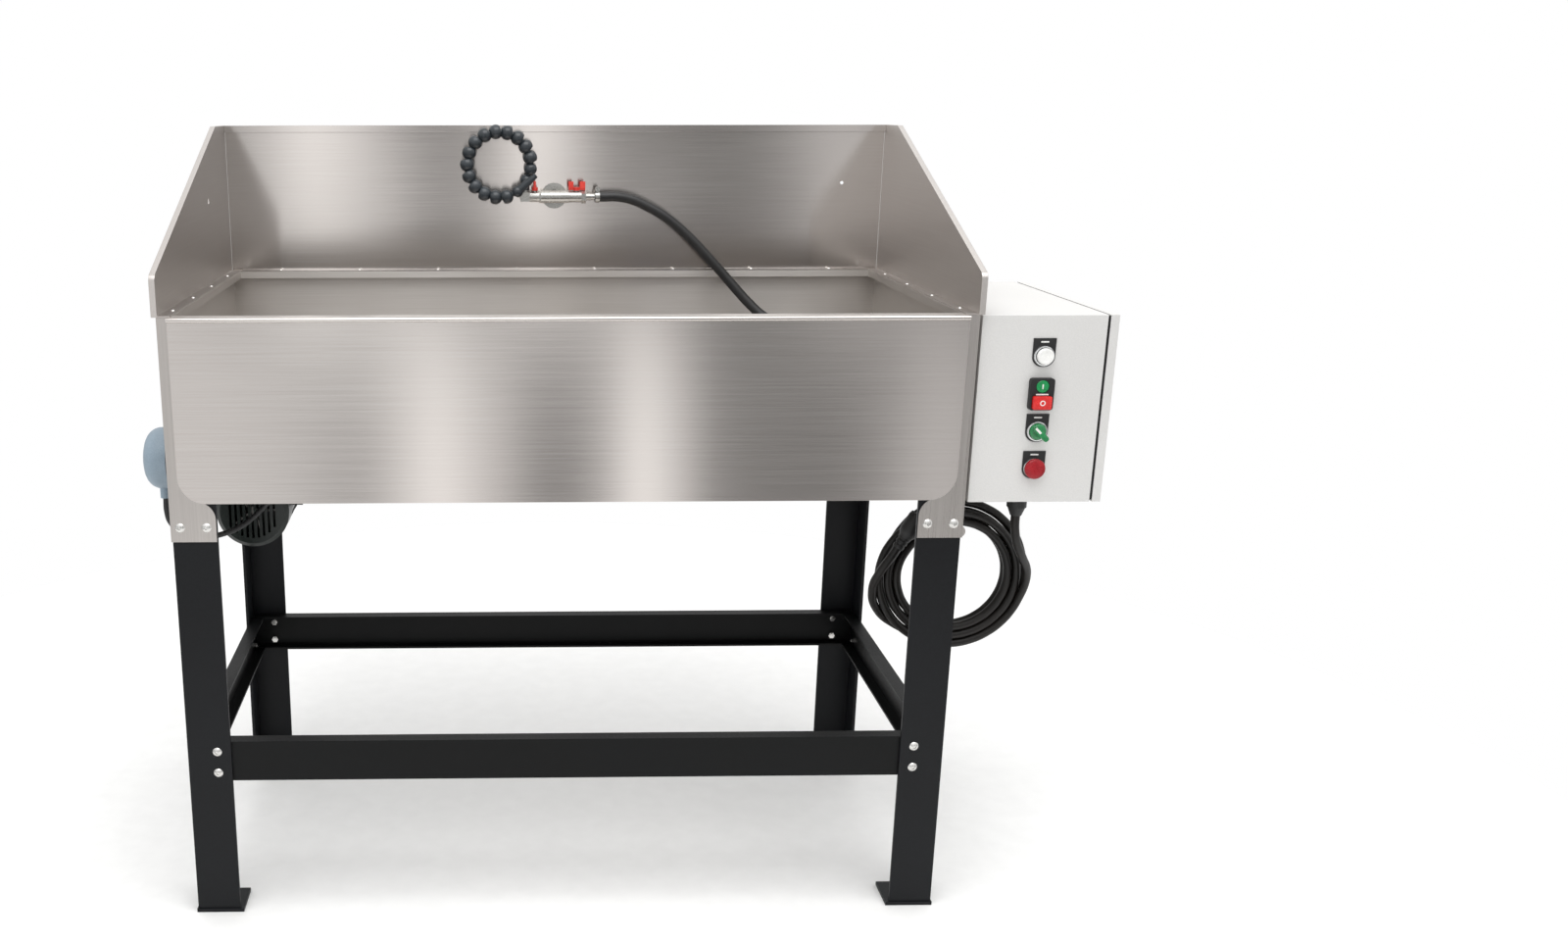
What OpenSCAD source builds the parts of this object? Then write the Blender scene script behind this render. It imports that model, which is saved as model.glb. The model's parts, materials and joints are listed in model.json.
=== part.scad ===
// Parts washer tank: a stainless basin with a splash guard on a bolted steel
// stand, with a recirculating pump, an immersion heater, a supply manifold on
// the back panel and a control cabinet on the right-hand side.
// Origin: centre of the four floor anchor holes, on the floor. +X right, +Y back, +Z up.

/* [Basin] */
// Width over the corner posts
tank_w = 1200; // [960:10:1500]
// Depth over the corner posts
tank_d = 600; // [520:10:760]
// Height of the basin rim above the floor
rim_z = 970; // [900:10:1100]
// Inside depth of the basin
basin_depth = 268; // [220:4:330]
// Thickness of the stainless sheet
sheet = 2; // [1.5:0.5:3]
// Width of the inward flange round the rim
rim_flange = 19; // [15:1:30]
// Height of the lip that hangs from the rim flange
rim_lip = 12; // [8:1:20]
// Depth of the work grids below the rim
grid_drop = 107; // [90:1:130]
// Thickness of the work grids
grid_t = 3; // [2:0.5:5]

/* [Splash guard] */
// Height of the back panel above the rim
splash_h = 260; // [200:5:340]
// Height of the short front edge of a side panel
splash_front_h = 58; // [40:2:90]
// Length of the level part of a side panel at the back
splash_level = 88; // [60:2:140]
// Width of the outward edge flange of a side panel
splash_flange = 7; // [4:1:12]
// Height and depth of the folded hem on the back panel
splash_hem = 12; // [8:1:18]

/* [Stand] */
// Width of a leg across the front
leg_w = 68; // [56:1:80]
// Depth of a leg along the side
leg_d = 60; // [52:1:72]
// Thickness of the leg steel
leg_t = 5; // [4:0.5:6]
// Width of a foot plate
foot_w = 76; // [70:1:90]
// Depth of a foot plate
foot_d = 64; // [60:1:80]
// Thickness of a foot plate
foot_t = 6; // [4:1:10]
// Radius of a floor anchor hole
anchor_r = 6; // [4:0.5:8]
// Height of the top edge of the braces
brace_top = 298; // [240:2:420]
// Height of a brace
brace_h = 67; // [60:1:80]
// Depth of a brace's flanges
brace_d = 23; // [18:1:28]
// Thickness of the brace steel
brace_t = 4; // [3:0.5:5]
// Height of the lower end of the corner posts
post_end_z = 630; // [560:5:650]
// Radius of a screw shank
screw_r = 4; // [3:0.5:5]

/* [Front panel] */
// Inset of the panel's sides from the outer corners
panel_inset = 15; // [10:1:25]
// Radius of the panel's lower corners
panel_corner_r = 42; // [25:1:60]
// Distance that the panel hangs below the basin floor
panel_drop = 10; // [5:1:25]

/* [Cabinet] */
// Width of the cabinet body from back plate to door gap
cab_w = 186; // [160:2:240]
// Length of the cabinet from front to back
cab_l = 400; // [360:5:440]
// Height of the cabinet
cab_h = 285; // [265:5:340]
// Distance from the tank's front to the cabinet's front face
cab_setback = 10; // [6:1:30]
// Thickness of the cabinet sheet
cab_t = 2; // [1.5:0.5:3]
// Depth of the door pan
door_d = 13; // [11:1:18]
// Spacing of the front controls
control_pitch = 57; // [54:1:60]

/* [Pump] */
// Radius of the motor housing
motor_r = 60; // [52:1:62]
// Length of the motor housing
motor_l = 160; // [150:5:190]

/* [Heater] */
// Radius of the heater's terminal head
head_r = 48; // [40:1:50]
// Distance that the terminal head stands off the tank wall
head_l = 54; // [48:1:70]

/* [Hose] */
// Outer diameter of the brush hose
hose_od = 18; // [14:1:20]
// Outer diameter of a ball-joint hose link
link_od = 22.5; // [21:0.5:24]
// Outer diameter of the mains cable
cable_od = 14; // [12:1:15]

/* [Hidden] */
$fn = 48;
eps = 0.01;

// Gaps that moving and fitted pieces keep
fit_gap = 0.2;
lift_gap = 4;

// Stand and basin faces that everything else is placed from
hw = tank_w / 2;
hd = tank_d / 2;
wall_x = hw - sheet;
wall_y = hd - sheet;
floor_z = rim_z - basin_depth - sheet;
inner_x = wall_x - sheet;
inner_y = wall_y - sheet;
mouth_x = wall_x - rim_flange;
mouth_y = wall_y - rim_flange;
leg_in_x = wall_x - leg_t;
leg_in_y = wall_y - leg_t;
leg_top = floor_z - 2;
anchor_x = hw - 50;
anchor_y = hd - 38;
post_r = 28;
post_neck = 41;
nut_h = 6;
nut_r = 6.2;
head_h = 3.6;

// Screw places: two rows on every post, two on each end of every brace
post_screw_z = post_end_z + 22;
post_screws_x = [14, 54];
post_screws_y = [26, 48];
brace_mid = brace_top - brace_h / 2;
brace_pitch = 36;
brace_screw_x = 48;
brace_screw_y = leg_d - 13;

// Rails under the basin floor
rail_w = 30;
rail_h = 35;
rail_t = 4;

// Grids
grid_z = rim_z - grid_drop - grid_t;
support_w = wall_x - mouth_x + 16;
support_t = 3;
grid_gap = 3;
slot_l = 52;
slot_w = 13;
slot_px = 68;
slot_py = 36;

// Splash guard
splash_top = rim_z + splash_h;
rivet_pitch = 145;
side_hole_r = 5;
back_hole_r = 3;

// Heater
heater_y = -hd + 100;
heater_z = floor_z + 37;
heater_len = 430;
tube_r = 4;
bend_r = 15;
heater_neck_r = 24;

// Pump below the left side of the basin
pump_x = -hw + 88;
pump_z = floor_z - 80;
pump_y = -105;
casing_r = 56;
casing_l = 46;
rotor_r = 34;
shaft_r = 7;
suction_y = pump_y + motor_l + casing_l + 50;
suction_r = 13;
outlet_z = pump_z + 20;

// Drain at the back of the basin
drain_x = 0;
drain_y = hd - 120;
drain_r = 17;
drain_drop = 60;
drain_z = floor_z - drain_drop;
drain_stem_y = drain_y + 62;

// Manifold in front of the back panel
man_x = -3;
man_y = hd - 38;
man_z = rim_z + 135;
tee_r = 11;
branch_r = 10.4;
tee_half = 25;
valve_r = 9;
valve_l = 31;
lever_z = man_z + 11;
right_stem_x = man_x + tee_half + 14;
left_stem_x = man_x - tee_half - 11;
left_end_x = left_stem_x - 17;
riser_x = left_stem_x - 18;
riser_r = 7;
barb_x = man_x + tee_half + valve_l;
barb_r = 6;
barb_l = 26;
hose_exit_x = barb_x + 9;

// Ring of ball-joint hose links
link_count = 16;
link_split = 8;
link_pitch = 20.7;
ring_r = 57;
ring_step = 2 * asin(link_pitch / 2 / ring_r);
ring_first = -30;
ring_x = riser_x - ring_r * cos(ring_first) + 3;
ring_z = man_z + 29 - ring_r * sin(ring_first);
ring_lead = 24;
ball_r = 8.6;
cavity_r = 8.9;
neck_r = 4.4;
link_bore = 2.6;
ring_tilt = asin(ring_lead / (link_count - 1) / link_pitch);

// Cabinet on the right of the tank
cab_x0 = hw + 7;
cab_x1 = cab_x0 + cab_w;
cab_y0 = -hd + cab_setback;
cab_y1 = cab_y0 + cab_l;
cab_z1 = rim_z - 2;
cab_z0 = cab_z1 - cab_h;
gasket_t = 4;
door_x0 = cab_x1 + gasket_t;
door_x1 = door_x0 + door_d;
cab_return = 15;
hinge_x = door_x0;
hinge_y = cab_y1 + 4;
hinge_r = 3.5;
lock_y = cab_y0 + 30;
lock_z = (cab_z0 + cab_z1) / 2;
lock_r = 9;
cam_t = 3;

// Controls in one column on the cabinet's front
ctl_x = cab_x0 + 95;
ctl_low = cab_z0 + 54;
lamp_z = ctl_low;
selector_z = ctl_low + control_pitch;
twin_z = ctl_low + 2 * control_pitch;
white_z = ctl_low + 3 * control_pitch;
hole_r = 11.2;
stem_r = 10;
bezel_r = 15;
legend_w = 34;
legend_h = 40;
legend_t = 1.5;
twin_w = 36;
twin_h = 48;
start_r = 9.5;
press_travel = 4;
cap_back = legend_t + press_travel + 0.3;

// Mains cable: gland, lead, coil and plug
gland_x = cab_x0 + 98;
gland_y = cab_y0 + 60;
gland_r = 15;
gland_l = 38;
coil_x = hw + 33;
coil_y = -hd + 140;
coil_z = floor_z - 174;
coil_r = 105;
coil_half_w = 1.5 * cable_od;
coil_half_d = cable_od;
peg_r = 5;
peg_z = coil_z + coil_r - coil_half_w - peg_r - 0.3;
plug_r = 16;
plug_at = [534, -190, 579];
plug_dir = 59;

// Routes of the hoses and cables, as points that a round tube follows
brush_route = [[69, 262, 1105], [84, 262, 1105], [110, 262, 1105], [136, 262, 1100],
  [164, 262, 1088], [193, 261, 1072], [220, 260, 1052], [248, 258, 1027],
  [275, 255, 999], [301, 251, 971], [326, 245, 943], [351, 237, 916],
  [377, 225, 893], [405, 208, 878], [434, 184, 872.5], [460, 153, 872.3],
  [477, 118, 872.3], [484, 80, 872.3], [479, 42, 872.3], [461, 7, 872.3],
  [432, -20, 872.3], [397, -37, 872.3], [359, -45, 873], [321, -48, 875],
  [284, -49, 876]];
supply_route = [[-430, 78, 640], [-412, 78, 640], [-388, 84, 639], [-366, 100, 636],
  [-352, 124, 634], [-345, 152, 633], [-342, 182, 632], [-341, 212, 632],
  [-339, 242, 633], [-335, 272, 638], [-328, 298, 650], [-318, 317, 670],
  [-306, 326, 698], [-291, 328, 730], [-270, 328, 765], [-240, 328, 800],
  [-200, 328, 834], [-155, 328, 865], [-110, 328, 897], [-70, 328, 930],
  [-38, 328, 965], [-16, 328, 1003], [-6, 328, 1040], [-3, 328, 1078]];
lead_route = [[705, -230, 648], [705, -230, 632], [708, -228, 613], [714, -223, 595],
  [723, -216, 579], [733, -206, 563], [743, -195, 547], [749, -184, 528],
  [750, -175, 507], [745, -169, 485]];
tail_route = [[558, -153, 430], [543, -154, 439], [528, -156, 450], [516, -161, 464],
  [507, -166, 480], [503, -172, 498], [503, -178, 516], [508, -184, 532],
  [516, -188, 549], [527, -190, 567], [534, -190, 580]];
heater_cable_route = [[-628, -200, 673], [-628, -200, 650], [-624, -198, 632],
  [-612, -193, 617], [-594, -186, 606], [-570, -176, 601], [-545, -164, 603],
  [-520, -152, 612], [-498, -143, 628], [-478, -138, 648], [-455, -136, 668],
  [-430, -136, 682], [-400, -136, 689], [-360, -136, 691], [-240, -136, 691],
  [-100, -136, 691], [60, -136, 691], [220, -136, 691], [380, -136, 690],
  [440, -136, 686], [480, -136, 678], [520, -136, 664], [556, -136, 652],
  [590, -134, 648], [622, -122, 651], [646, -104, 659], [655, -92, 672],
  [656, -90, 683]];
pump_cable_route = [[-436, -30, 640], [-424, -30, 640], [-408, -34, 650],
  [-390, -48, 672], [-368, -72, 686], [-344, -96, 691], [-310, -112, 691.5],
  [-240, -118, 691.5], [-100, -118, 691.5], [60, -118, 691.5], [220, -118, 691.5],
  [380, -118, 690.5], [440, -118, 686], [480, -116, 677], [520, -112, 664],
  [556, -104, 654], [590, -90, 650], [622, -72, 654], [646, -56, 662],
  [655, -51, 673], [656, -50, 683]];
control_cable_d = 9;

// ---------------------------------------------------------------- shared shapes

// Tube of round cross-section swept along a list of points
function unit(v) = v / norm(v);
function heading(p, i) = unit(p[min(i + 1, len(p) - 1)] - p[max(i - 1, 0)]);
function side(t) = unit(cross(t, abs(t[2]) > 0.9 ? [0, 1, 0] : [0, 0, 1]));
function carry(p, i) = i == 0 ? side(heading(p, 0)) : let (t = heading(p, i),
  s = carry(p, i - 1)) unit(s - (s * t) * t);
module tube(route, d, sides = 10) {
  n = len(route);
  points = [for (i = [0 : n - 1]) let (t = heading(route, i), u = carry(route, i),
    v = cross(t, u)) for (k = [0 : sides - 1])
    route[i] + d / 2 * (cos(360 * k / sides) * u + sin(360 * k / sides) * v)];
  skin = [for (i = [0 : n - 2]) for (k = [0 : sides - 1]) let (j = (k + 1) % sides)
    [i * sides + k, (i + 1) * sides + k, (i + 1) * sides + j, i * sides + j]];
  ends = [[for (k = [0 : sides - 1]) k], [for (k = [sides - 1 : -1 : 0]) (n - 1) * sides + k]];
  polyhedron(points, concat(skin, ends));
}

// Box given by its two corners
module span(a, b) {
  translate([min(a[0], b[0]), min(a[1], b[1]), min(a[2], b[2])])
    cube([abs(b[0] - a[0]), abs(b[1] - a[1]), abs(b[2] - a[2])]);
}

// Cylinders along X and Y that start at a point
module rod_x(r, l) { rotate([0, 90, 0]) cylinder(r = r, h = l); }
module rod_y(r, l) { rotate([-90, 0, 0]) cylinder(r = r, h = l); }

// Button-head screw along +Y: the head stands in front of the face at y = 0
module screw(grip) {
  rotate([-90, 0, 0]) {
    difference() {
      intersection() {
        translate([0, 0, 6]) sphere(r = 9.6);
        translate([0, 0, -head_h]) cylinder(r = 8, h = head_h);
      }
      translate([0, 0, -head_h - eps]) cylinder(r = 2.6, h = 1.8, $fn = 6);
    }
    cylinder(r = screw_r, h = grip + nut_h + 2);
    translate([0, 0, grip]) difference() {
      cylinder(r = nut_r, h = nut_h, $fn = 6);
      translate([0, 0, -eps]) cylinder(r = screw_r + fit_gap, h = nut_h + 2 * eps);
    }
  }
}

// Screw places of one corner, with the children drawn at each, pointing inwards
module front_post_spots() {
  for (dx = post_screws_x) translate([-hw + dx, -hd, post_screw_z]) children();
}
module side_post_spots() {
  for (dy = post_screws_y) translate([-hw, -hd + dy, post_screw_z]) rotate([0, 0, -90]) children();
}
module front_brace_spots() {
  for (s = [-1, 1]) translate([-hw + brace_screw_x, -wall_y, brace_mid + s * brace_pitch / 2]) children();
}
module side_brace_spots() {
  for (s = [-1, 1]) translate([-wall_x, -hd + brace_screw_y, brace_mid + s * brace_pitch / 2])
    rotate([0, 0, -90]) children();
}
module corner_drills() {
  front_post_spots() translate([0, -1, 0]) rod_y(screw_r + fit_gap, leg_t + sheet + 3);
  side_post_spots() translate([0, -1, 0]) rod_y(screw_r + fit_gap, leg_t + sheet + 3);
  front_brace_spots() translate([0, -1, 0]) rod_y(screw_r + fit_gap, leg_t + brace_t + 3);
  side_brace_spots() translate([0, -1, 0]) rod_y(screw_r + fit_gap, leg_t + brace_t + 3);
}
module at_corner(sx, sy) {
  mirror([sx > 0 ? 1 : 0, 0, 0]) mirror([0, sy > 0 ? 1 : 0, 0]) children();
}

// ---------------------------------------------------------------- stand

module leg(sx, sy) {
  color("#2a2b2e") at_corner(sx, sy) difference() {
    union() {
      span([-wall_x, -wall_y, foot_t], [-wall_x + leg_w, -wall_y + leg_t, leg_top]);
      span([-wall_x, -wall_y, foot_t], [-wall_x + leg_t, -wall_y + leg_d, leg_top]);
      span([-hw, -hd, 0], [-hw + foot_w, -hd + foot_d, foot_t]);
    }
    translate([-anchor_x, -anchor_y, -1]) cylinder(r = anchor_r, h = foot_t + 2);
    corner_drills();
  }
}
module front_left_leg() { leg(-1, -1); }
module front_right_leg() { leg(1, -1); }
module rear_left_leg() { leg(-1, 1); }
module rear_right_leg() { leg(1, 1); }

// Channel with its web at y = 0 and its flanges towards +Y, along X
module channel(half, h, d, t) {
  span([-half, 0, -h], [half, t, 0]);
  span([-half, 0, -t], [half, d, 0]);
  span([-half, 0, -h], [half, d, -h + t]);
}
module long_brace(sy) {
  half = leg_in_x - 3;
  color("#2a2b2e") mirror([0, sy > 0 ? 1 : 0, 0]) difference() {
    translate([0, -leg_in_y, brace_top]) channel(half, brace_h, brace_d, brace_t);
    for (sx = [0, 1]) mirror([sx, 0, 0]) corner_drills();
  }
}
module front_brace() { long_brace(-1); }
module rear_brace() { long_brace(1); }
module short_brace(sx) {
  half = leg_in_y - brace_d - 2;
  color("#2a2b2e") mirror([sx > 0 ? 1 : 0, 0, 0]) difference() {
    translate([-leg_in_x, 0, brace_top]) rotate([0, 0, -90]) channel(half, brace_h, brace_d, brace_t);
    for (sy = [0, 1]) mirror([0, sy, 0]) corner_drills();
  }
}
module left_brace() { short_brace(-1); }
module right_brace() { short_brace(1); }

module frame_screws() {
  color("#c9cbce") for (sx = [-1, 1], sy = [-1, 1]) at_corner(sx, sy) {
    front_post_spots() screw(sheet + leg_t);
    side_post_spots() screw(sheet + leg_t);
    front_brace_spots() screw(leg_t + brace_t);
    side_brace_spots() screw(leg_t + brace_t);
  }
}

// Two lipped rails that carry the basin between the front and rear legs
module tank_rails() {
  half = leg_in_y - 1;
  color("#2a2b2e") for (m = [0, 1]) mirror([m, 0, 0])
    translate([-leg_in_x, 0, floor_z]) rotate([0, 0, -90]) channel(half, rail_h, rail_w, rail_t);
}

// Outline of one flange of a corner post, measured from the outer corner
module post_outline(w) {
  translate([0, post_end_z]) square([w - post_r, floor_z - panel_drop + 3 - post_end_z]);
  translate([0, post_end_z]) square([w, floor_z - panel_drop + 3 - post_r - post_end_z]);
  translate([w - post_r, floor_z - panel_drop + 3 - post_r]) circle(r = post_r);
  translate([0, post_end_z]) square([post_neck, rim_z - post_end_z]);
}
module corner_posts() {
  color("#b4b1ae") for (sx = [-1, 1], sy = [-1, 1]) at_corner(sx, sy) difference() {
    union() {
      translate([-hw, -hd + sheet, 0]) rotate([90, 0, 0]) linear_extrude(sheet) post_outline(leg_w + 1);
      translate([-hw, -hd, 0]) rotate([90, 0, 90]) linear_extrude(sheet) post_outline(leg_d + 1);
    }
    corner_drills();
    if (sx < 0 && sy < 0) heater_hole();
  }
}

// ---------------------------------------------------------------- basin

module heater_hole() {
  translate([-hw - 1, heater_y, heater_z]) rod_x(heater_neck_r + fit_gap, 8);
}
module tank_shell() {
  color("#b9b6b3") difference() {
    union() {
      difference() {
        span([-wall_x, -wall_y, floor_z], [wall_x, wall_y, rim_z]);
        span([-inner_x, -inner_y, floor_z + sheet], [inner_x, inner_y, rim_z - sheet]);
        span([-mouth_x, -mouth_y, rim_z - sheet - 1], [mouth_x, mouth_y, rim_z + 1]);
      }
      difference() {
        span([-mouth_x - sheet, -mouth_y - sheet, rim_z - rim_lip],
          [mouth_x + sheet, mouth_y + sheet, rim_z - sheet / 2]);
        span([-mouth_x, -mouth_y, rim_z - rim_lip - 1], [mouth_x, mouth_y, rim_z + 1]);
      }
    }
    heater_hole();
    translate([drain_x, drain_y, floor_z - 1]) cylinder(r = drain_r + fit_gap, h = sheet + 2);
    translate([pump_x, suction_y, floor_z - 1]) cylinder(r = suction_r + 4 + fit_gap, h = sheet + 2);
  }
}

// Front apron: flat sheet with round lower corners and a rolled top edge
module front_panel() {
  w = hw - panel_inset;
  z0 = floor_z - panel_drop;
  bead_r = 3.5;
  color("#bdbab7") union() {
    translate([0, -hd, 0]) rotate([90, 0, 0]) linear_extrude(sheet) union() {
      translate([-w, z0 + panel_corner_r]) square([2 * w, rim_z - z0 - panel_corner_r - bead_r]);
      translate([-w + panel_corner_r, z0]) square([2 * (w - panel_corner_r), panel_corner_r + eps]);
      for (s = [-1, 1]) translate([s * (w - panel_corner_r), z0 + panel_corner_r]) circle(r = panel_corner_r);
    }
    translate([-w, -hd - bead_r, rim_z - bead_r]) rod_x(bead_r, 2 * w);
  }
}

// Back panel: flat sheet, hem at the top, flange on the rim, holes for the fittings
module splash_back() {
  color("#b4b0ad") difference() {
    union() {
      span([-wall_x, hd - sheet, rim_z], [wall_x, hd, splash_top]);
      span([-wall_x, hd - splash_hem, splash_top - sheet], [wall_x, hd, splash_top]);
      span([-wall_x, hd - splash_hem, splash_top - splash_hem],
        [wall_x, hd - splash_hem + sheet, splash_top - sheet / 2]);
      span([-mouth_x, mouth_y, rim_z], [mouth_x, hd - sheet / 2, rim_z + sheet]);
    }
    translate([man_x, hd - sheet - 1, man_z]) rod_y(branch_r + fit_gap, sheet + 2);
    translate([wall_x - 73, hd - sheet - 1, splash_top - 103]) rod_y(back_hole_r, sheet + 2);
  }
}

// Outline of a side panel seen from the side, in y and z
module side_outline() {
  y1 = hd - splash_level;
  polygon([[-hd, rim_z], [hd - sheet, rim_z], [hd - sheet, splash_top], [y1, splash_top],
    [-hd + 6, rim_z + splash_front_h + 4], [-hd + 2, rim_z + splash_front_h],
    [-hd, rim_z + splash_front_h - 5]]);
}
module side_edge() {
  difference() {
    side_outline();
    y1 = hd - splash_level;
    polygon([[-hd + sheet, rim_z - 1], [hd, rim_z - 1], [hd, splash_top - sheet], [y1 + 0.4, splash_top - sheet],
      [-hd + 7, rim_z + splash_front_h + 2], [-hd + 3.5, rim_z + splash_front_h - 1.5],
      [-hd + sheet, rim_z + splash_front_h - 6]]);
  }
}
module splash_side(m) {
  color("#aeaaa7") mirror([m, 0, 0]) difference() {
    union() {
      translate([-hw, 0, 0]) rotate([90, 0, 90]) linear_extrude(sheet) side_outline();
      translate([-hw - splash_flange, 0, 0]) rotate([90, 0, 90])
        linear_extrude(splash_flange + sheet / 2) side_edge();
      span([-wall_x, -hd + sheet, rim_z], [-mouth_x - sheet / 2, mouth_y, rim_z + sheet]);
    }
    if (m == 0) translate([-hw - 1, 117, splash_top - 122]) rod_x(side_hole_r, sheet + 2);
  }
}
module splash_left() { splash_side(0); }
module splash_right() { splash_side(1); }

// Blind rivets that hold the guard's flange down on the rim
module rivet() {
  intersection() {
    translate([0, 0, -2.2]) sphere(r = 4, $fn = 24);
    cylinder(r = 3.4, h = 2);
  }
}
module splash_rivets() {
  x = (wall_x + mouth_x) / 2;
  y = (wall_y + mouth_y) / 2;
  color("#d0d0d0") translate([0, 0, rim_z + sheet]) {
    for (s = [-1, 1], i = [0 : floor((tank_d - 120) / rivet_pitch)])
      translate([s * x, -hd + 60 + i * rivet_pitch, 0]) rivet();
    n = floor((tank_w - 120) / rivet_pitch);
    for (i = [0 : n]) translate([(i - n / 2) * rivet_pitch, y, 0]) rivet();
  }
}

// Angle shelves under the grids, and a centre bar where the two grids meet
module grid_supports() {
  z1 = grid_z;
  color("#a9a6a3") {
    for (m = [0, 1]) mirror([0, m, 0]) {
      span([-inner_x + support_w, -inner_y, z1 - support_t], [inner_x - support_w, -inner_y + support_w, z1]);
      span([-inner_x + support_w, -inner_y, z1 - 25],
        [inner_x - support_w, -inner_y + support_t, z1 - support_t / 2]);
    }
    for (m = [0, 1]) mirror([m, 0, 0]) {
      span([-inner_x, -inner_y, z1 - support_t], [-inner_x + support_w - fit_gap, inner_y, z1]);
      span([-inner_x, -inner_y, z1 - 25], [-inner_x + support_t, inner_y, z1 - support_t / 2]);
    }
    difference() {
      span([-20, -inner_y + support_w + fit_gap, z1 - 25], [20, inner_y - support_w - fit_gap, z1]);
      span([-20 + support_t, -inner_y, z1 - 26], [20 - support_t, inner_y, z1 - support_t]);
    }
  }
}

// Slotted plate that lies on the shelves; the left one lifts out
module work_grid(m) {
  w = mouth_x - lift_gap - grid_gap;
  d = 2 * (mouth_y - lift_gap);
  nx = floor((w - 30) / slot_px);
  ny = floor((d - 30) / slot_py);
  color("#9d9b99") mirror([m, 0, 0]) translate([-grid_gap - w, -d / 2, grid_z]) linear_extrude(grid_t)
    difference() {
      square([w, d]);
      for (i = [0 : nx - 1], j = [0 : ny - 1])
        translate([w / 2 + (i - (nx - 1) / 2) * slot_px, d / 2 + (j - (ny - 1) / 2) * slot_py])
          square([slot_l, slot_w], center = true);
    }
}
module left_work_grid() { work_grid(0); }
module right_work_grid() { work_grid(1); }

// ---------------------------------------------------------------- heater

module heater_element() {
  color("#8f8a84") translate([-inner_x, heater_y, heater_z]) {
    for (i = [0 : 2]) rotate([60 * i, 0, 0]) {
      l = heater_len - 3.5 * tube_r * i;
      for (s = [-1, 1]) translate([2, s * bend_r, 0]) rod_x(tube_r, l);
      translate([l + 2, 0, 0]) rotate([0, 0, -90]) rotate_extrude(angle = 180)
        translate([bend_r, 0]) circle(r = tube_r);
    }
    translate([-sheet - 12, 0, 0]) rod_x(heater_neck_r, sheet + 12);
    difference() {
      rod_x(heater_neck_r + 8, 4);
      translate([-1, 0, 0]) rod_x(heater_neck_r - 1, 6);
    }
    rod_x(heater_neck_r, 5);
  }
}
module heater_head() {
  profile = [for (a = [0 : 10 : 80]) [head_r * pow(cos(a), 0.55), head_l - 26 + 26 * sin(a)]];
  color("#93a3b0") difference() {
    union() {
      translate([-hw, heater_y, heater_z]) rotate([0, -90, 0]) rotate_extrude()
        polygon(concat([[0, 0.5], [heater_neck_r + 10, 0.5], [heater_neck_r + 10, 10], [head_r, 14]],
          profile, [[0, head_l]]));
      translate([-hw - 28, heater_y, heater_z - head_r - 16]) cylinder(r = 8, h = 24);
    }
    translate([-hw - 12, heater_y, heater_z]) rod_x(heater_neck_r + fit_gap, 20);
  }
}

// ---------------------------------------------------------------- pump

module suction_fitting() {
  color("#a8a5a2") {
    // Basket strainer over the outlet, with its flanged socket through the floor
    difference() {
      union() {
        translate([pump_x, suction_y, floor_z + sheet]) cylinder(r = 26, h = 4);
        translate([pump_x, suction_y, floor_z + sheet]) cylinder(r = 22, h = 58);
        translate([pump_x, suction_y, floor_z - 14]) cylinder(r = suction_r + 4, h = 20);
      }
      translate([pump_x, suction_y, floor_z + sheet + 3]) cylinder(r = 20, h = 53);
      translate([pump_x, suction_y, floor_z - 15]) cylinder(r = suction_r - 1, h = 30);
      for (a = [0 : 45 : 315], z = [14, 28, 42]) translate([pump_x, suction_y, floor_z + sheet + z])
        rotate([0, 0, a]) translate([21, 0, 0]) cube([8, 8, 5], center = true);
    }
    // Pipe and elbow from the socket to the pump inlet
    difference() {
      union() {
        translate([pump_x, suction_y, pump_z]) cylinder(r = suction_r, h = 66);
        translate([pump_x, suction_y, pump_z]) sphere(r = suction_r + 3);
        translate([pump_x, suction_y - 32, pump_z]) rod_y(suction_r - 1, 32);
      }
      translate([pump_x, suction_y, pump_z]) cylinder(r = suction_r - 3, h = 70);
      translate([pump_x, suction_y - 33, pump_z]) rod_y(suction_r - 5, 33);
    }
  }
}
module pump_casing() {
  y0 = pump_y + motor_l;
  color("#3b4a46") difference() {
    union() {
      translate([pump_x, y0, pump_z]) rod_y(casing_r, casing_l);
      translate([pump_x, y0 + casing_l, pump_z]) rod_y(suction_r + 6, 17);
      translate([pump_x + 30, y0 + 23, outlet_z]) rod_x(15, 45);
    }
    translate([pump_x, y0 + 6, pump_z]) rod_y(44, casing_l - 12);
    translate([pump_x, y0 - 1, pump_z]) rod_y(shaft_r + 0.3, 10);
    translate([pump_x, y0 + casing_l - 8, pump_z]) rod_y(suction_r - 3, 26);
    translate([pump_x + 20, y0 + 23, outlet_z]) rod_x(9, 56);
  }
}
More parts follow.
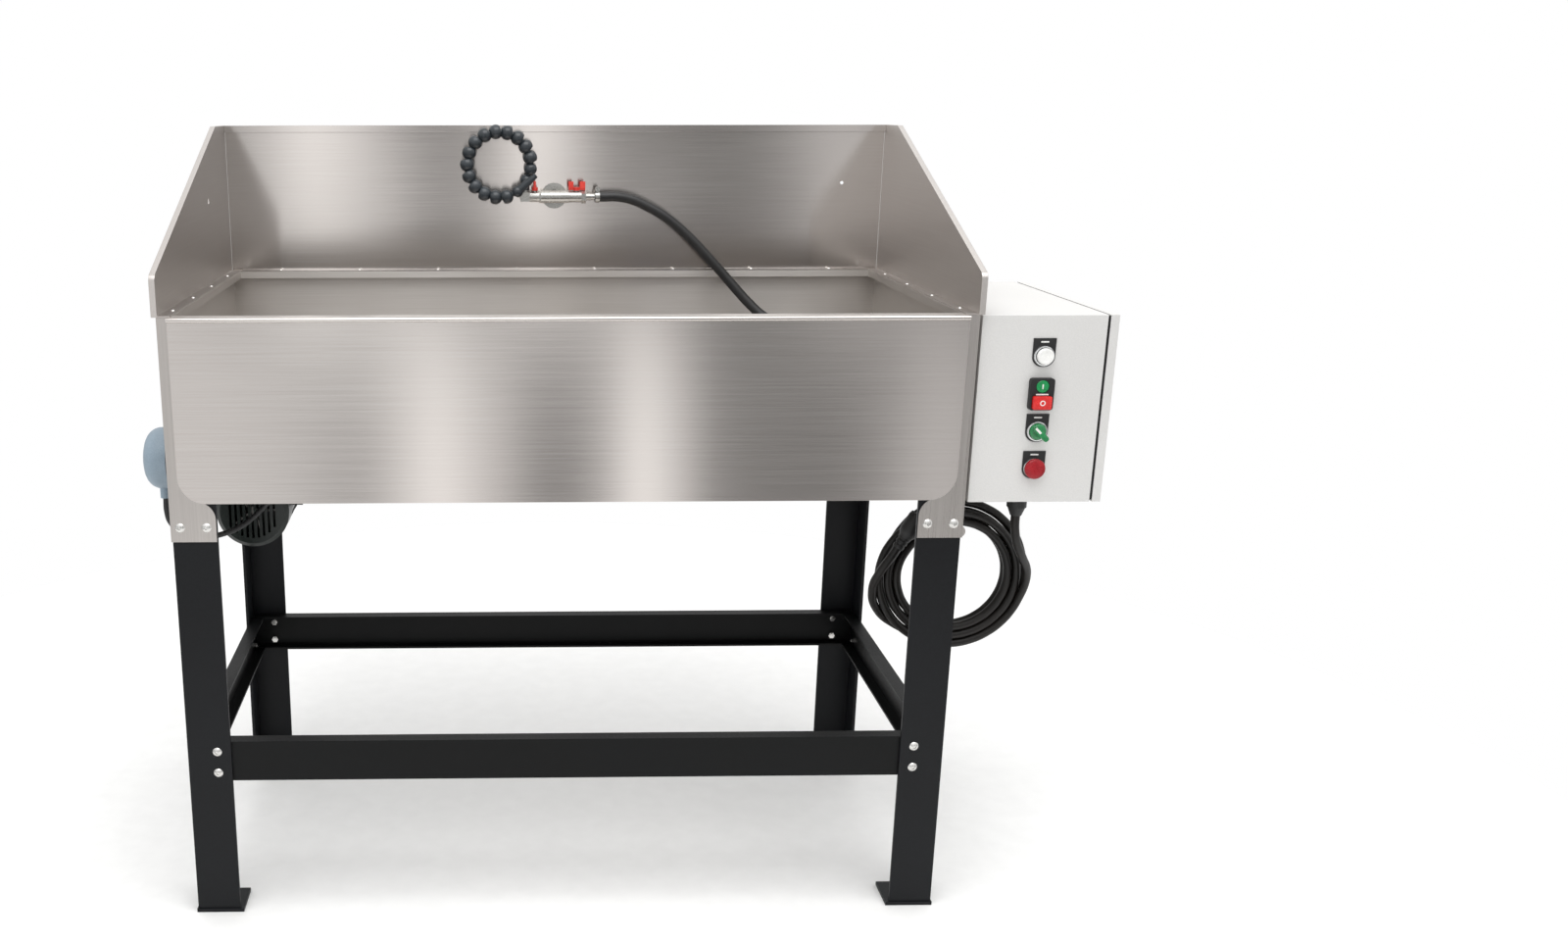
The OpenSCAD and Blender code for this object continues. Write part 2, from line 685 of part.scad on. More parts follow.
// Half length of a slot in the fan cowl, at a distance from its middle
function grille_l(x) = sqrt(pow(motor_r - 16, 2) - x * x);
module pump_motor() {
  color("#33413d") difference() {
    union() {
      translate([pump_x, pump_y + 40, pump_z]) rod_y(motor_r - 3, motor_l - 40);
      translate([pump_x, pump_y + 6, pump_z]) rod_y(motor_r, 40);
      translate([pump_x, pump_y, pump_z]) rotate([-90, 0, 0]) cylinder(r1 = motor_r - 7, r2 = motor_r, h = 6);
      translate([pump_x, pump_y + motor_l - 14, pump_z]) rod_y(motor_r, 14);
      for (a = [135 : 18 : 333]) translate([pump_x, pump_y + 45, pump_z])
        rotate([0, -a, 0]) span([motor_r - 6, 0, -1.2], [motor_r - 0.6, motor_l - 58, 1.2]);
      span([pump_x + 30, pump_y + 52, pump_z - 2], [pump_x + motor_r + 16, pump_y + 98, pump_z + 34]);
    }
    translate([pump_x, pump_y + 5, pump_z]) rod_y(motor_r - 9, 35);
    translate([pump_x, pump_y + 46, pump_z]) rod_y(rotor_r + 2, motor_l - 62);
    translate([pump_x, pump_y + 20, pump_z]) rod_y(shaft_r + 0.3, motor_l);
    for (x = [-36 : 9 : 36]) span([pump_x + x - 2, pump_y - 1, pump_z - grille_l(x)],
      [pump_x + x + 2, pump_y + 6, pump_z + grille_l(x)]);
  }
}
module pump_rotor() {
  color("#8a8d90") translate([pump_x, 0, pump_z]) {
    translate([0, pump_y + 12, 0]) rod_y(shaft_r, motor_l + 20);
    translate([0, pump_y + 50, 0]) rod_y(rotor_r, motor_l - 72);
    translate([0, pump_y + motor_l + 12, 0]) rod_y(38, 4);
    for (a = [0 : 60 : 300]) rotate([0, a, 0])
      span([shaft_r - 1, pump_y + motor_l + 15, -1.5], [38, pump_y + motor_l + 28, 1.5]);
    for (a = [0 : 72 : 288]) rotate([0, a, 0])
      span([shaft_r - 1, pump_y + 14, -1.5], [motor_r - 14, pump_y + 32, 1.5]);
  }
}
// Saddle that hangs the motor from the basin floor
module pump_bracket() {
  color("#2a2b2e") difference() {
    span([pump_x - 36, pump_y + 62, pump_z + 40], [pump_x + 26, pump_y + 132, floor_z]);
    translate([pump_x, pump_y, pump_z]) rod_y(motor_r + 0.3, motor_l);
    span([pump_x - 32, pump_y + 70, pump_z + 40], [pump_x + 22, pump_y + 124, floor_z - 4]);
  }
}
module supply_hose() { color("#2b2b2c") tube(supply_route, 19, 10); }

// ---------------------------------------------------------------- drain

module drain_valve() {
  color("#9c9a97") difference() {
    union() {
      translate([drain_x, drain_y, drain_z]) cylinder(r = drain_r, h = drain_drop + sheet);
      translate([drain_x, drain_y, floor_z - 6]) cylinder(r = drain_r + 8, h = 6, $fn = 6);
      translate([drain_x, drain_y, drain_z]) sphere(r = drain_r + 3);
      translate([drain_x, drain_y, drain_z]) rod_y(drain_r, 40);
      translate([drain_x, drain_y + 38, drain_z]) rod_y(drain_r + 5, 48);
      translate([drain_x, drain_y + 80, drain_z]) rod_y(drain_r - 2, 34);
      translate([drain_x, drain_stem_y, drain_z]) cylinder(r = 8, h = drain_r + 12);
    }
    translate([drain_x, drain_y, drain_z]) cylinder(r = drain_r - 4, h = drain_drop + 4);
    translate([drain_x, drain_y, drain_z]) rod_y(drain_r - 4, 44);
    translate([drain_x, drain_y + 74, drain_z]) rod_y(drain_r - 4, 50);
  }
}
module drain_lever() {
  z = drain_z + drain_r + 12.3;
  color("#b3282c") {
    translate([drain_x, drain_stem_y, z]) cylinder(r = 11, h = 5);
    span([drain_x + 6, drain_stem_y - 8, z], [drain_x + 100, drain_stem_y + 8, z + 3]);
  }
}

// ---------------------------------------------------------------- manifold

// Ring against the back panel, back nut, and the elbow that takes the supply hose
module manifold_flange() {
  color("#c8c9ca") {
    translate([man_x, hd - sheet - 4, man_z]) difference() {
      rod_y(23, 4);
      translate([0, -1, 0]) rod_y(branch_r + fit_gap, 6);
    }
    translate([man_x, hd, man_z]) difference() {
      rotate([-90, 0, 0]) cylinder(r = 20, h = 6, $fn = 6);
      translate([0, -1, 0]) rod_y(branch_r + fit_gap, 8);
    }
    translate([man_x, hd + 28, man_z]) difference() {
      union() {
        sphere(r = 14);
        translate([0, -22, 0]) rod_y(13, 20);
        translate([0, 0, -40]) cylinder(r = 12, h = 40);
      }
      translate([0, -23, 0]) rod_y(branch_r + fit_gap, 16);
      translate([0, -10, 0]) rod_y(6, 10);
      translate([0, 0, -41]) cylinder(r = 6, h = 41);
      translate([0, 0, -41]) cylinder(r = 9.7, h = 14);
    }
  }
}
module manifold_tee() {
  color("#cfd0d1") difference() {
    union() {
      translate([man_x - tee_half, man_y, man_z]) rod_x(tee_r, 2 * tee_half);
      translate([man_x, man_y, man_z]) rod_y(branch_r, 50);
    }
    translate([man_x - tee_half - 1, man_y, man_z]) rod_x(6, 2 * tee_half + 2);
    translate([man_x, man_y, man_z]) rod_y(5, 52);
  }
}
module left_valve() {
  color("#c9cacb") {
    translate([left_end_x + 7.5, man_y, man_z]) rod_x(valve_r, man_x - tee_half - left_end_x - 9.5);
    translate([man_x - tee_half - 3, man_y, man_z]) rotate([0, 90, 0]) cylinder(r = 11, h = 3, $fn = 6);
    span([riser_x - 8, man_y - 8, man_z - 8], [left_end_x + 8, man_y + 8, man_z + 8]);
    translate([left_stem_x, man_y, man_z]) cylinder(r = 4, h = lever_z - man_z - 0.3);
    translate([riser_x, man_y, man_z]) cylinder(r = riser_r, h = 20);
  }
}
module right_valve() {
  x0 = man_x + tee_half;
  color("#c9cacb") difference() {
    union() {
      translate([x0, man_y, man_z]) rod_x(valve_r + 1, valve_l - 8);
      translate([x0 + valve_l - 8, man_y, man_z]) rotate([0, 90, 0]) cylinder(r = 12, h = 8, $fn = 6);
      translate([barb_x, man_y, man_z]) rod_x(barb_r, barb_l);
      for (i = [0 : 2]) translate([barb_x + 1 + 2.5 * i, man_y, man_z]) rod_x(barb_r + 1, 1.2);
      translate([right_stem_x, man_y, man_z]) cylinder(r = 4, h = lever_z - man_z - 0.3);
    }
    translate([x0 - 1, man_y, man_z]) rod_x(4, valve_l + barb_l + 2);
  }
}

// Wing lever above a valve stem: short and long are its reaches along X
module wing_lever(short, long) {
  difference() {
    union() {
      cylinder(r = 5.5, h = 6);
      translate([-short, -1.5, 1]) cube([short + long, 3, 5]);
      translate([-short, -2, 4]) cube([short * 0.62, 4, 12]);
      translate([long * 0.38, -2, 4]) cube([long * 0.62, 4, 12]);
    }
    translate([0, 0, -1]) cylinder(r = 2, h = 3);
  }
}
module left_valve_lever() {
  color("#d93a2f") translate([left_stem_x, man_y, lever_z]) rotate([0, 0, 90]) wing_lever(3, 21);
}
module right_valve_lever() {
  color("#d93a2f") translate([right_stem_x, man_y, lever_z]) wing_lever(14, 16);
}
module hose_clamp() {
  x = hose_exit_x + 8;
  color("#bfc1c3") translate([x, man_y, man_z]) {
    difference() {
      rod_x(hose_od / 2 + 1.4, 8);
      translate([-1, 0, 0]) rod_x(hose_od / 2 + 0.4, 10);
    }
    translate([4, 6, hose_od / 2 + 4.2]) rotate([90, 0, 0]) cylinder(r = 4.5, h = 14);
  }
}
module brush_hose() { color("#1d1d1e") tube(brush_route, hose_od, 12); }

// Flow-through brush that lies on the right-hand grid
module wash_brush() {
  profile = [[0, 0], [10, 0], [12.5, 6], [12.5, 30], [11, 60], [12.5, 95], [14, 100],
    [14, 118], [12, 120], [12, 124], [0, 124]];
  color("#2f4d8f") translate([290, -49, grid_z + grid_t + 14.2]) rotate([0, -90, 0]) {
    difference() {
      rotate_extrude() polygon(profile);
      translate([0, 0, -1]) cylinder(r = hose_od / 2, h = 13);
    }
  }
  color("#e7e2d2") translate([290 - 124, -49, grid_z + grid_t + 14.2]) rotate([0, -90, 0])
    cylinder(r1 = 11, r2 = 14, h = 42);
}

// ---------------------------------------------------------------- ball-joint hose

// Hollow ball-and-socket link along +Z with its socket's centre at the origin
module hose_link() {
  difference() {
    union() {
      sphere(r = link_od / 2);
      cylinder(r = neck_r, h = link_pitch);
      translate([0, 0, link_pitch]) sphere(r = ball_r);
    }
    sphere(r = cavity_r);
    translate([0, 0, -link_od]) cylinder(r = 8.2, h = link_od);
    cylinder(r = link_bore, h = link_pitch + ball_r + 1);
    translate([0, 0, -link_od / 2 - 1]) cylinder(r = link_od, h = 5.2);
  }
}
function ring_at(i) = let (a = ring_first + i * ring_step)
  [ring_x + ring_r * cos(a), man_y - ring_lead * i / (link_count - 1), ring_z + ring_r * sin(a)];
module ring_links(first, last) {
  for (i = [first : last]) translate(ring_at(i))
    rotate([0, -(ring_first + (i + 0.5) * ring_step), 0]) rotate([ring_tilt, 0, 0]) hose_link();
}
module lower_hose_links() {
  color("#34383c") {
    // Adapter that screws on the riser and ends in the first ball
    difference() {
      union() {
        translate([riser_x, man_y, man_z + 12]) cylinder(r = 8.6, h = 8);
        translate([riser_x, man_y, man_z + 19]) cylinder(r = 5, h = 10);
        translate(ring_at(0)) sphere(r = 8.4);
      }
      translate([riser_x, man_y, man_z + 11]) cylinder(r = riser_r + 0.3, h = 9.3);
    }
    ring_links(0, link_split - 1);
  }
}
module upper_hose_links() { color("#34383c") ring_links(link_split, link_count - 1); }

// Tapered spout on the last link
module round_nozzle() {
  a = ring_first + link_count * ring_step;
  color("#2c2f33") translate(ring_at(link_count)) rotate([0, -(a + 6), 0]) rotate([ring_tilt, 0, 0])
    difference() {
      union() {
        difference() {
          sphere(r = link_od / 2 - 1);
          translate([0, 0, -link_od / 2 - 1]) cylinder(r = link_od, h = 5.2);
        }
        translate([0, 0, 6]) cylinder(r1 = 8, r2 = 4.5, h = 38);
      }
      sphere(r = cavity_r);
      translate([0, 0, -link_od]) cylinder(r = 8.2, h = link_od);
      cylinder(r = 3, h = 60);
    }
}

// ---------------------------------------------------------------- cabinet

module control_spots(z_list) {
  for (z = z_list) translate([ctl_x, cab_y0, z]) children();
}
module cabinet_body() {
  color("#d9d9d7") difference() {
    union() {
      difference() {
        span([cab_x0, cab_y0, cab_z0], [cab_x1, cab_y1, cab_z1]);
        span([cab_x0 + cab_t, cab_y0 + cab_t, cab_z0 + cab_t], [cab_x1 - cab_t, cab_y1 - cab_t, cab_z1 - cab_t]);
        span([cab_x1 - cab_t - 1, cab_y0 + cab_return, cab_z0 + cab_return],
          [cab_x1 + 1, cab_y1 - cab_return, cab_z1 - cab_return]);
      }
      // Hinge knuckles on the rear edge
      for (z = [cab_z0 + 40, cab_z1 - 70]) difference() {
        union() {
          translate([hinge_x, hinge_y, z]) cylinder(r = hinge_r, h = 14);
          span([cab_x1 - 24, cab_y1 - 0.5, z], [hinge_x, cab_y1 + 1.5, z + 14]);
        }
        translate([hinge_x, hinge_y, z - 1]) cylinder(r = 1.75, h = 16);
      }
    }
    control_spots([lamp_z, selector_z, white_z, twin_z - 12, twin_z + 12])
      translate([0, -1, 0]) rod_y(hole_r, cab_t + 2);
    translate([gland_x, gland_y, cab_z0 - 1]) cylinder(r = 12.2, h = cab_t + 2);
  }
}
module door_gasket() {
  color("#1c1c1d") difference() {
    span([cab_x1, cab_y0 + 3, cab_z0 + 3], [door_x0, cab_y1 - 3, cab_z1 - 3]);
    span([cab_x1 - 1, cab_y0 + 11, cab_z0 + 11], [door_x0 + 1, cab_y1 - 11, cab_z1 - 11]);
  }
}
module cabinet_door() {
  color("#dddddb") difference() {
    union() {
      difference() {
        span([door_x0 + 0.2, cab_y0, cab_z0], [door_x1, cab_y1, cab_z1]);
        span([door_x0, cab_y0 + cab_t, cab_z0 + cab_t], [door_x1 - cab_t, cab_y1 - cab_t, cab_z1 - cab_t]);
      }
      for (z = [cab_z0 + 54.3, cab_z1 - 55.7]) {
        translate([hinge_x, hinge_y, z]) cylinder(r = hinge_r, h = 14);
        translate([hinge_x, hinge_y, z - 14]) cylinder(r = 1.5, h = 15);
        span([hinge_x + 1, hinge_y - 1, z], [hinge_x + 8, hinge_y + 1, z + 14]);
        span([hinge_x + 6, cab_y1 - 1, z], [hinge_x + 8, hinge_y + 1, z + 14]);
      }
    }
    translate([door_x0, lock_y, lock_z]) rod_x(lock_r + 0.3, door_d + 1);
  }
}
module door_lock() {
  color("#3a3a3c") translate([0, lock_y, lock_z]) {
    difference() {
      translate([door_x1 + 0.3, 0, 0]) rod_x(lock_r + 4, 2.5);
      translate([door_x1 - 3, 0, 0]) rotate([0, 90, 0]) cylinder(r = 5, h = 8, $fn = 3);
    }
    translate([cab_x1 - 12, 0, 0]) rod_x(lock_r - 3, door_x1 - cab_x1 + 8);
    translate([door_x1 - door_d + 1, 0, 0]) rod_x(lock_r, door_d - 0.3);
    span([cab_x1 - 12, -6, -6], [cab_x1 - 12 + cam_t, 6, 24]);
  }
}
module mounting_plate() {
  color("#c7a94a") {
    span([cab_x0 + 10, cab_y0 + 30, cab_z0 + 20], [cab_x0 + 12, cab_y1 - 30, cab_z1 - 20]);
    for (y = [cab_y0 + 40, cab_y1 - 40], z = [cab_z0 + 30, cab_z1 - 30])
      translate([cab_x0 + cab_t, y, z]) rod_x(4, 8);
  }
}
// Contactors, overload, breaker and transformer on two rails
module control_gear() {
  x = cab_x0 + 12;
  color("#4b5157") {
    for (z = [cab_z0 + 95, cab_z0 + 200])
      span([x, cab_y0 + 100, z - 17], [x + 7.5, cab_y1 - 45, z + 17]);
    for (i = [0 : 2]) span([x + 7.5, cab_y0 + 110 + 50 * i, cab_z0 + 62], [x + 85, cab_y0 + 155 + 50 * i, cab_z0 + 132]);
    for (i = [0 : 4]) span([x + 7.5, cab_y0 + 112 + 22 * i, cab_z0 + 160], [x + 75, cab_y0 + 130 + 22 * i, cab_z0 + 240]);
    span([x + 7.5, cab_y0 + 240, cab_z0 + 160], [x + 90, cab_y0 + 330, cab_z0 + 245]);
    span([x + 7.5, cab_y0 + 270, cab_z0 + 70], [x + 60, cab_y0 + 350, cab_z0 + 120]);
  }
}

// Black plates behind the controls, the twin button's frame and the metal bezel rings
module legend_plates() {
  color("#1f2021") for (z = [lamp_z, selector_z, white_z]) difference() {
    translate([ctl_x - legend_w / 2, cab_y0 - legend_t, z - 14]) cube([legend_w, legend_t, legend_h]);
    translate([ctl_x, cab_y0 - legend_t - 1, z]) rod_y(hole_r, legend_t + 2);
  }
  color("#1f2021") difference() {
    translate([ctl_x - twin_w / 2, cab_y0 - 9, twin_z - twin_h / 2]) cube([twin_w, 9, twin_h]);
    translate([ctl_x, cab_y0 - 10, twin_z + 12]) rod_y(start_r + 0.4, 12);
    span([ctl_x - 14.4, cab_y0 - 10, twin_z - 22.2], [ctl_x + 14.4, cab_y0 + 1, twin_z - 1.4]);
  }
  color("#c4c6c8") for (z = [lamp_z, selector_z, white_z]) translate([ctl_x, cab_y0 - legend_t - 4, z]) difference() {
    rod_y(bezel_r, 4);
    translate([0, -1, 0]) rod_y(hole_r + 1.3, 6);
  }
}
module push_button(r, stand, z) {
  translate([ctl_x, cab_y0 - stand, z]) rod_y(r, stand - cap_back);
  translate([ctl_x, cab_y0 - cap_back - 0.5, z]) rod_y(stem_r - 1, 38 + cap_back);
}
module white_button() { color("#f2f2ef") push_button(hole_r + 0.8, 12, white_z); }
module start_button() { color("#15924b") push_button(start_r, 9.5, twin_z + 12); }
module stop_button() {
  color("#d92a2a") {
    span([ctl_x - 14, cab_y0 - 15, twin_z - 22], [ctl_x + 14, cab_y0 - cap_back, twin_z - 2]);
    translate([ctl_x, cab_y0 - cap_back - 0.5, twin_z - 12]) rod_y(stem_r - 1, 38 + cap_back);
  }
}
module selector_knob() {
  color("#12904a") translate([ctl_x, cab_y0, selector_z]) {
    translate([0, -12, 0]) rod_y(hole_r + 0.8, 10.5);
    translate([0, -2, 0]) rod_y(stem_r - 1, 40);
    rotate([0, -45, 0]) span([-4, -22, -14], [4, -11, 14]);
  }
}
module red_lamp() {
  color("#c3202a") translate([ctl_x, cab_y0, lamp_z]) {
    intersection() {
      translate([0, 2, 0]) sphere(r = 16.2);
      translate([0, -14, 0]) rod_y(hole_r + 0.8, 12.5);
    }
    translate([0, -2, 0]) rod_y(stem_r - 1, 40);
  }
}

// ---------------------------------------------------------------- mains cable

module cable_gland() {
  color("#202122") translate([gland_x, gland_y, cab_z0]) difference() {
    union() {
      translate([0, 0, -9]) cylinder(r = gland_r + 3, h = 9, $fn = 6);
      translate([0, 0, -9]) cylinder(r = 12, h = 18);
      translate([0, 0, -24]) cylinder(r = gland_r, h = 15.5);
      translate([0, 0, -gland_l]) cylinder(r1 = cable_od / 2 + 1.5, r2 = gland_r - 1, h = 14.5);
      translate([0, 0, cab_t]) cylinder(r = 17, h = 5, $fn = 6);
    }
    translate([0, 0, -gland_l - 1]) cylinder(r = cable_od / 2 + fit_gap, h = 60);
  }
}
module power_cable() {
  color("#222223") {
    tube(lead_route, cable_od, 10);
    tube(tail_route, cable_od, 10);
  }
}
module cable_coil() {
  color("#222223") translate([coil_x, coil_y + coil_half_d, coil_z]) rotate([90, 0, 0]) rotate_extrude()
    translate([coil_r - coil_half_w, 0]) square([2 * coil_half_w, 2 * coil_half_d]);
}
module power_plug() {
  profile = [[0, 0], [8.5, 0], [9.5, 20], [15, 28], [plug_r, 34], [plug_r, 60], [14, 64], [0, 64]];
  color("#1b1b1c") translate(plug_at) rotate([0, 90 - plug_dir, 0]) {
    difference() {
      rotate_extrude() polygon(profile);
      translate([0, 0, -1]) cylinder(r = cable_od / 2 + fit_gap, h = 16);
    }
    for (s = [-1, 1]) translate([0, s * 7, 62]) cylinder(r = 2.2, h = 16);
  }
}

// Two spacer bars that carry the cabinet on the tank wall, and the cable hook below it
module cabinet_brackets() {
  color("#b7b4b1") {
    for (y = [-hd + leg_d + 12, cab_y1 - 42])
      span([wall_x, y, cab_z0 + 12], [cab_x0, y + 30, cab_z1 - 12]);
    span([coil_x - 10, coil_y + coil_half_d + 7, peg_z - peg_r], [coil_x + 10, coil_y + coil_half_d + 10, cab_z0]);
    span([coil_x - 10, coil_y + coil_half_d + 7, cab_z0 - 3], [coil_x + 10, coil_y + coil_half_d + 32, cab_z0]);
    translate([coil_x, coil_y - coil_half_d - 8, peg_z]) rod_y(peg_r, 2 * coil_half_d + 16);
    translate([coil_x, coil_y - coil_half_d - 12, peg_z]) rod_y(peg_r + 5, 4);
  }
}
module control_cables() {
  color("#242425") {
    tube(heater_cable_route, control_cable_d, 8);
    tube(pump_cable_route, control_cable_d, 8);
  }
}

front_left_leg();
front_right_leg();
rear_left_leg();
rear_right_leg();
front_brace();
rear_brace();
left_brace();
right_brace();
frame_screws();
tank_rails();
corner_posts();
tank_shell();
front_panel();
splash_back();
splash_left();
splash_right();
splash_rivets();
grid_supports();
left_work_grid();
right_work_grid();
heater_element();
heater_head();
suction_fitting();
pump_casing();
pump_motor();
pump_rotor();
pump_bracket();
supply_hose();
drain_valve();
drain_lever();
manifold_flange();
manifold_tee();
left_valve();
right_valve();
left_valve_lever();
right_valve_lever();
hose_clamp();
brush_hose();
wash_brush();
lower_hose_links();
upper_hose_links();
round_nozzle();
cabinet_body();
cabinet_door();
door_gasket();
door_lock();
mounting_plate();
control_gear();
legend_plates();
white_button();
start_button();
stop_button();
selector_knob();
red_lamp();
cable_gland();
power_cable();
cable_coil();
power_plug();
cabinet_brackets();
control_cables();
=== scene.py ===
"""Parts washer tank: stainless basin and splash guard on a bolted steel stand."""
import bmesh
import bpy
import json
import math

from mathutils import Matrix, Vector  # noqa: E402

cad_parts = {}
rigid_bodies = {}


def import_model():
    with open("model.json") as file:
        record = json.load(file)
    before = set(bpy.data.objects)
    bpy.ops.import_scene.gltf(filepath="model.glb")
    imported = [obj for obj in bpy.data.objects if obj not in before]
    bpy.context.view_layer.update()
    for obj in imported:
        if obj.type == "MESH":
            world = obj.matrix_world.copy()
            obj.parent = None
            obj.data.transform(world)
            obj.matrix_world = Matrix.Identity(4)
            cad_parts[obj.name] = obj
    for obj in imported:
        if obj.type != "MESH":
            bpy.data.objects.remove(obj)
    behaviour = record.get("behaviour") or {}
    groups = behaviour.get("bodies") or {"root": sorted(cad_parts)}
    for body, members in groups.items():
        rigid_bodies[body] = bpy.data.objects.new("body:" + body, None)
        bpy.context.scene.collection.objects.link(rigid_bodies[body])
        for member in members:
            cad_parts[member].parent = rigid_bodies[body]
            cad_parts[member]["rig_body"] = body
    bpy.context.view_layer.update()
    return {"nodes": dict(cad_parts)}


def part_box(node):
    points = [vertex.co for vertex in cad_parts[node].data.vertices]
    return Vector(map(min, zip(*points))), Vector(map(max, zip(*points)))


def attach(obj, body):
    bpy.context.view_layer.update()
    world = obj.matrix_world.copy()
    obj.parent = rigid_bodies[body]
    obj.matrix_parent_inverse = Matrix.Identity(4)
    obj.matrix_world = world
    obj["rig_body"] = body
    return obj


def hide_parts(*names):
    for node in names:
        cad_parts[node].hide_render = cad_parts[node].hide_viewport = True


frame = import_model()
bpy.ops.object.select_all(action="DESELECT")

# ------------------------------------------------------------------ camera
# A camera at standing height, a little left of the tank's middle, looking
# slightly down into the basin.
view_point = (-0.095, -2.363, 1.271)
view_down_deg = 15.4
view_right_deg = 0.93
view_roll_deg = 0.07
lens_mm = 32.7

bpy.ops.object.camera_add(location=view_point)
camera = bpy.context.object
camera.name = "camera"
camera.rotation_euler = (math.radians(90 - view_down_deg), math.radians(view_roll_deg),
    -math.radians(view_right_deg))
camera.data.lens = lens_mm
camera.data.sensor_width = 36.0
camera.data.shift_x = 0.1637
camera.data.shift_y = 0.015
bpy.context.scene.camera = camera

# ------------------------------------------------------------------ brush hose
# Black rubber water hose, 18 mm outside, pushed on the valve's barb and led
# in one long sag into the basin, where it lies on the grid up to the brush.
# Extruded rubber: near black, matt, with a faint bloom and die lines.
hose_d = 0.018
hose_points_mm = [
    (69, 262, 1105), (84, 262, 1105), (110, 262, 1105), (136, 262, 1100), (164, 262, 1088),
    (193, 261, 1072), (220, 260, 1052), (248, 258, 1027), (275, 255, 999), (301, 251, 971),
    (326, 245, 943), (351, 237, 916), (377, 225, 893), (405, 208, 878), (434, 184, 872.5),
    (460, 153, 872.3), (477, 118, 872.3), (484, 80, 872.3), (479, 42, 872.3), (461, 7, 872.3),
    (432, -20, 872.3), (397, -37, 872.3), (359, -45, 873), (321, -48, 875), (284, -49, 876)]


def linear(colour):
    """An sRGB hex colour as the linear red, green, blue and alpha that a shader takes."""
    parts = [int(colour[i:i + 2], 16) / 255 for i in (1, 3, 5)]
    return tuple(c / 12.92 if c <= 0.04045 else ((c + 0.055) / 1.055) ** 2.4 for c in parts) + (1.0,)


def add_node(finish, kind, sockets=None, **settings):
    """Adds one node to a finish, with its settings and its socket values or links."""
    node = finish.node_tree.nodes.new(kind)
    for name, value in settings.items():
        setattr(node, name, value)
    for name, value in (sockets or {}).items():
        if isinstance(value, bpy.types.NodeSocket):
            finish.node_tree.links.new(value, node.inputs[name])
        else:
            node.inputs[name].default_value = value
    return node


def new_finish(name, colours, roughness, grain_mm, relief_mm, stretch=(1, 1, 1), cloud_mm=260,
    **shader_values):
    """A finish that runs from one colour and roughness to another over its grain and over wide
    clouds, with the grain as relief. Stretch draws the grain out along an axis."""
    finish = bpy.data.materials.new(name)
    finish.use_nodes = True
    shader = finish.node_tree.nodes["Principled BSDF"]
    for socket, value in shader_values.items():
        shader.inputs[socket.replace("_", " ")].default_value = value
    place = add_node(finish, "ShaderNodeTexCoord")
    size = add_node(finish, "ShaderNodeMapping", {
        "Vector": place.outputs["Object"], "Scale": [1000 / grain_mm / s for s in stretch]})
    grain = add_node(finish, "ShaderNodeTexNoise", {
        "Vector": size.outputs[0], "Scale": 1.0, "Detail": 3.0, "Roughness": 0.6})
    cloud = add_node(finish, "ShaderNodeTexNoise", {
        "Vector": place.outputs["Object"], "Scale": 1000 / cloud_mm, "Detail": 2.0})
    both = add_node(finish, "ShaderNodeMath", {0: grain.outputs[0], 1: cloud.outputs[0]}, operation="ADD")
    tone = add_node(finish, "ShaderNodeMapRange", {"Value": both.outputs[0], "From Min": 0.75,
        "From Max": 1.25})
    colour = add_node(finish, "ShaderNodeMix", {
        0: tone.outputs[0], 6: linear(colours[0]), 7: linear(colours[1])}, data_type="RGBA")
    gloss = add_node(finish, "ShaderNodeMapRange", {
        "Value": both.outputs[0], "From Min": 0.7, "From Max": 1.3, "To Min": roughness[0],
            "To Max": roughness[1]})
    relief = add_node(finish, "ShaderNodeBump", {
        "Height": grain.outputs[0], "Distance": relief_mm / 1000, "Strength": 1.0})
    links = finish.node_tree.links
    links.new(colour.outputs[2], shader.inputs["Base Color"])
    links.new(gloss.outputs[0], shader.inputs["Roughness"])
    links.new(relief.outputs[0], shader.inputs["Normal"])
    return finish


def cord_along(name, points_mm, diameter, finish):
    """A round cord whose centreline passes smoothly through the points."""
    line = bpy.data.curves.new(name, "CURVE")
    line.dimensions = "3D"
    line.bevel_depth = diameter / 2
    line.bevel_resolution = 5
    line.resolution_u = 6
    line.use_fill_caps = True
    path = line.splines.new("BEZIER")
    path.bezier_points.add(len(points_mm) - 1)
    for knot, point in zip(path.bezier_points, points_mm):
        knot.co = [v / 1000 for v in point]
        knot.handle_left_type = knot.handle_right_type = "AUTO"
    line.materials.append(finish)
    piece = bpy.data.objects.new(name, line)
    bpy.context.scene.collection.objects.link(piece)
    return piece


hose_rubber = new_finish("extruded_hose_rubber", ("#111112", "#1d1c1c"), (0.38, 0.6), 2.5, 0.02, cloud_mm=90)
hose = cord_along("hose_to_brush", hose_points_mm, hose_d, hose_rubber)
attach(hose, "tank")
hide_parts("brush_hose")

# ------------------------------------------------------------------ mains cable
# Heavy rubber mains lead, 14 mm thick: out of the gland under the cabinet,
# wound in a coil that hangs on the hook, with its plug beside the coil.
# Neoprene sheath: black with a brown cast, semi-matt, scuffed by the floor.
cable_d = 0.014
coil_middle_mm = (633, -160, 526)
coil_tracks_mm = [(119.8, -167.2), (105.2, -167.2), (90.6, -167.2), (90.6, -152.8), (105.2, -152.8),
    (119.8, -152.8)]
coil_start_deg = -42
coil_end_deg = -120
coil_step_deg = 15
coil_whole_turns = 5
layer_change_bulge_mm = 6.0
shift_from_deg = -180
shift_to_deg = -270
lead_points_mm = [
    (705, -230, 648), (705, -230, 632), (708, -228, 613), (714, -223, 595), (723, -216, 579),
    (733, -206, 563), (743, -195, 547), (749, -184, 528), (750, -175, 507), (745, -169, 485),
    (737, -167, 466)]
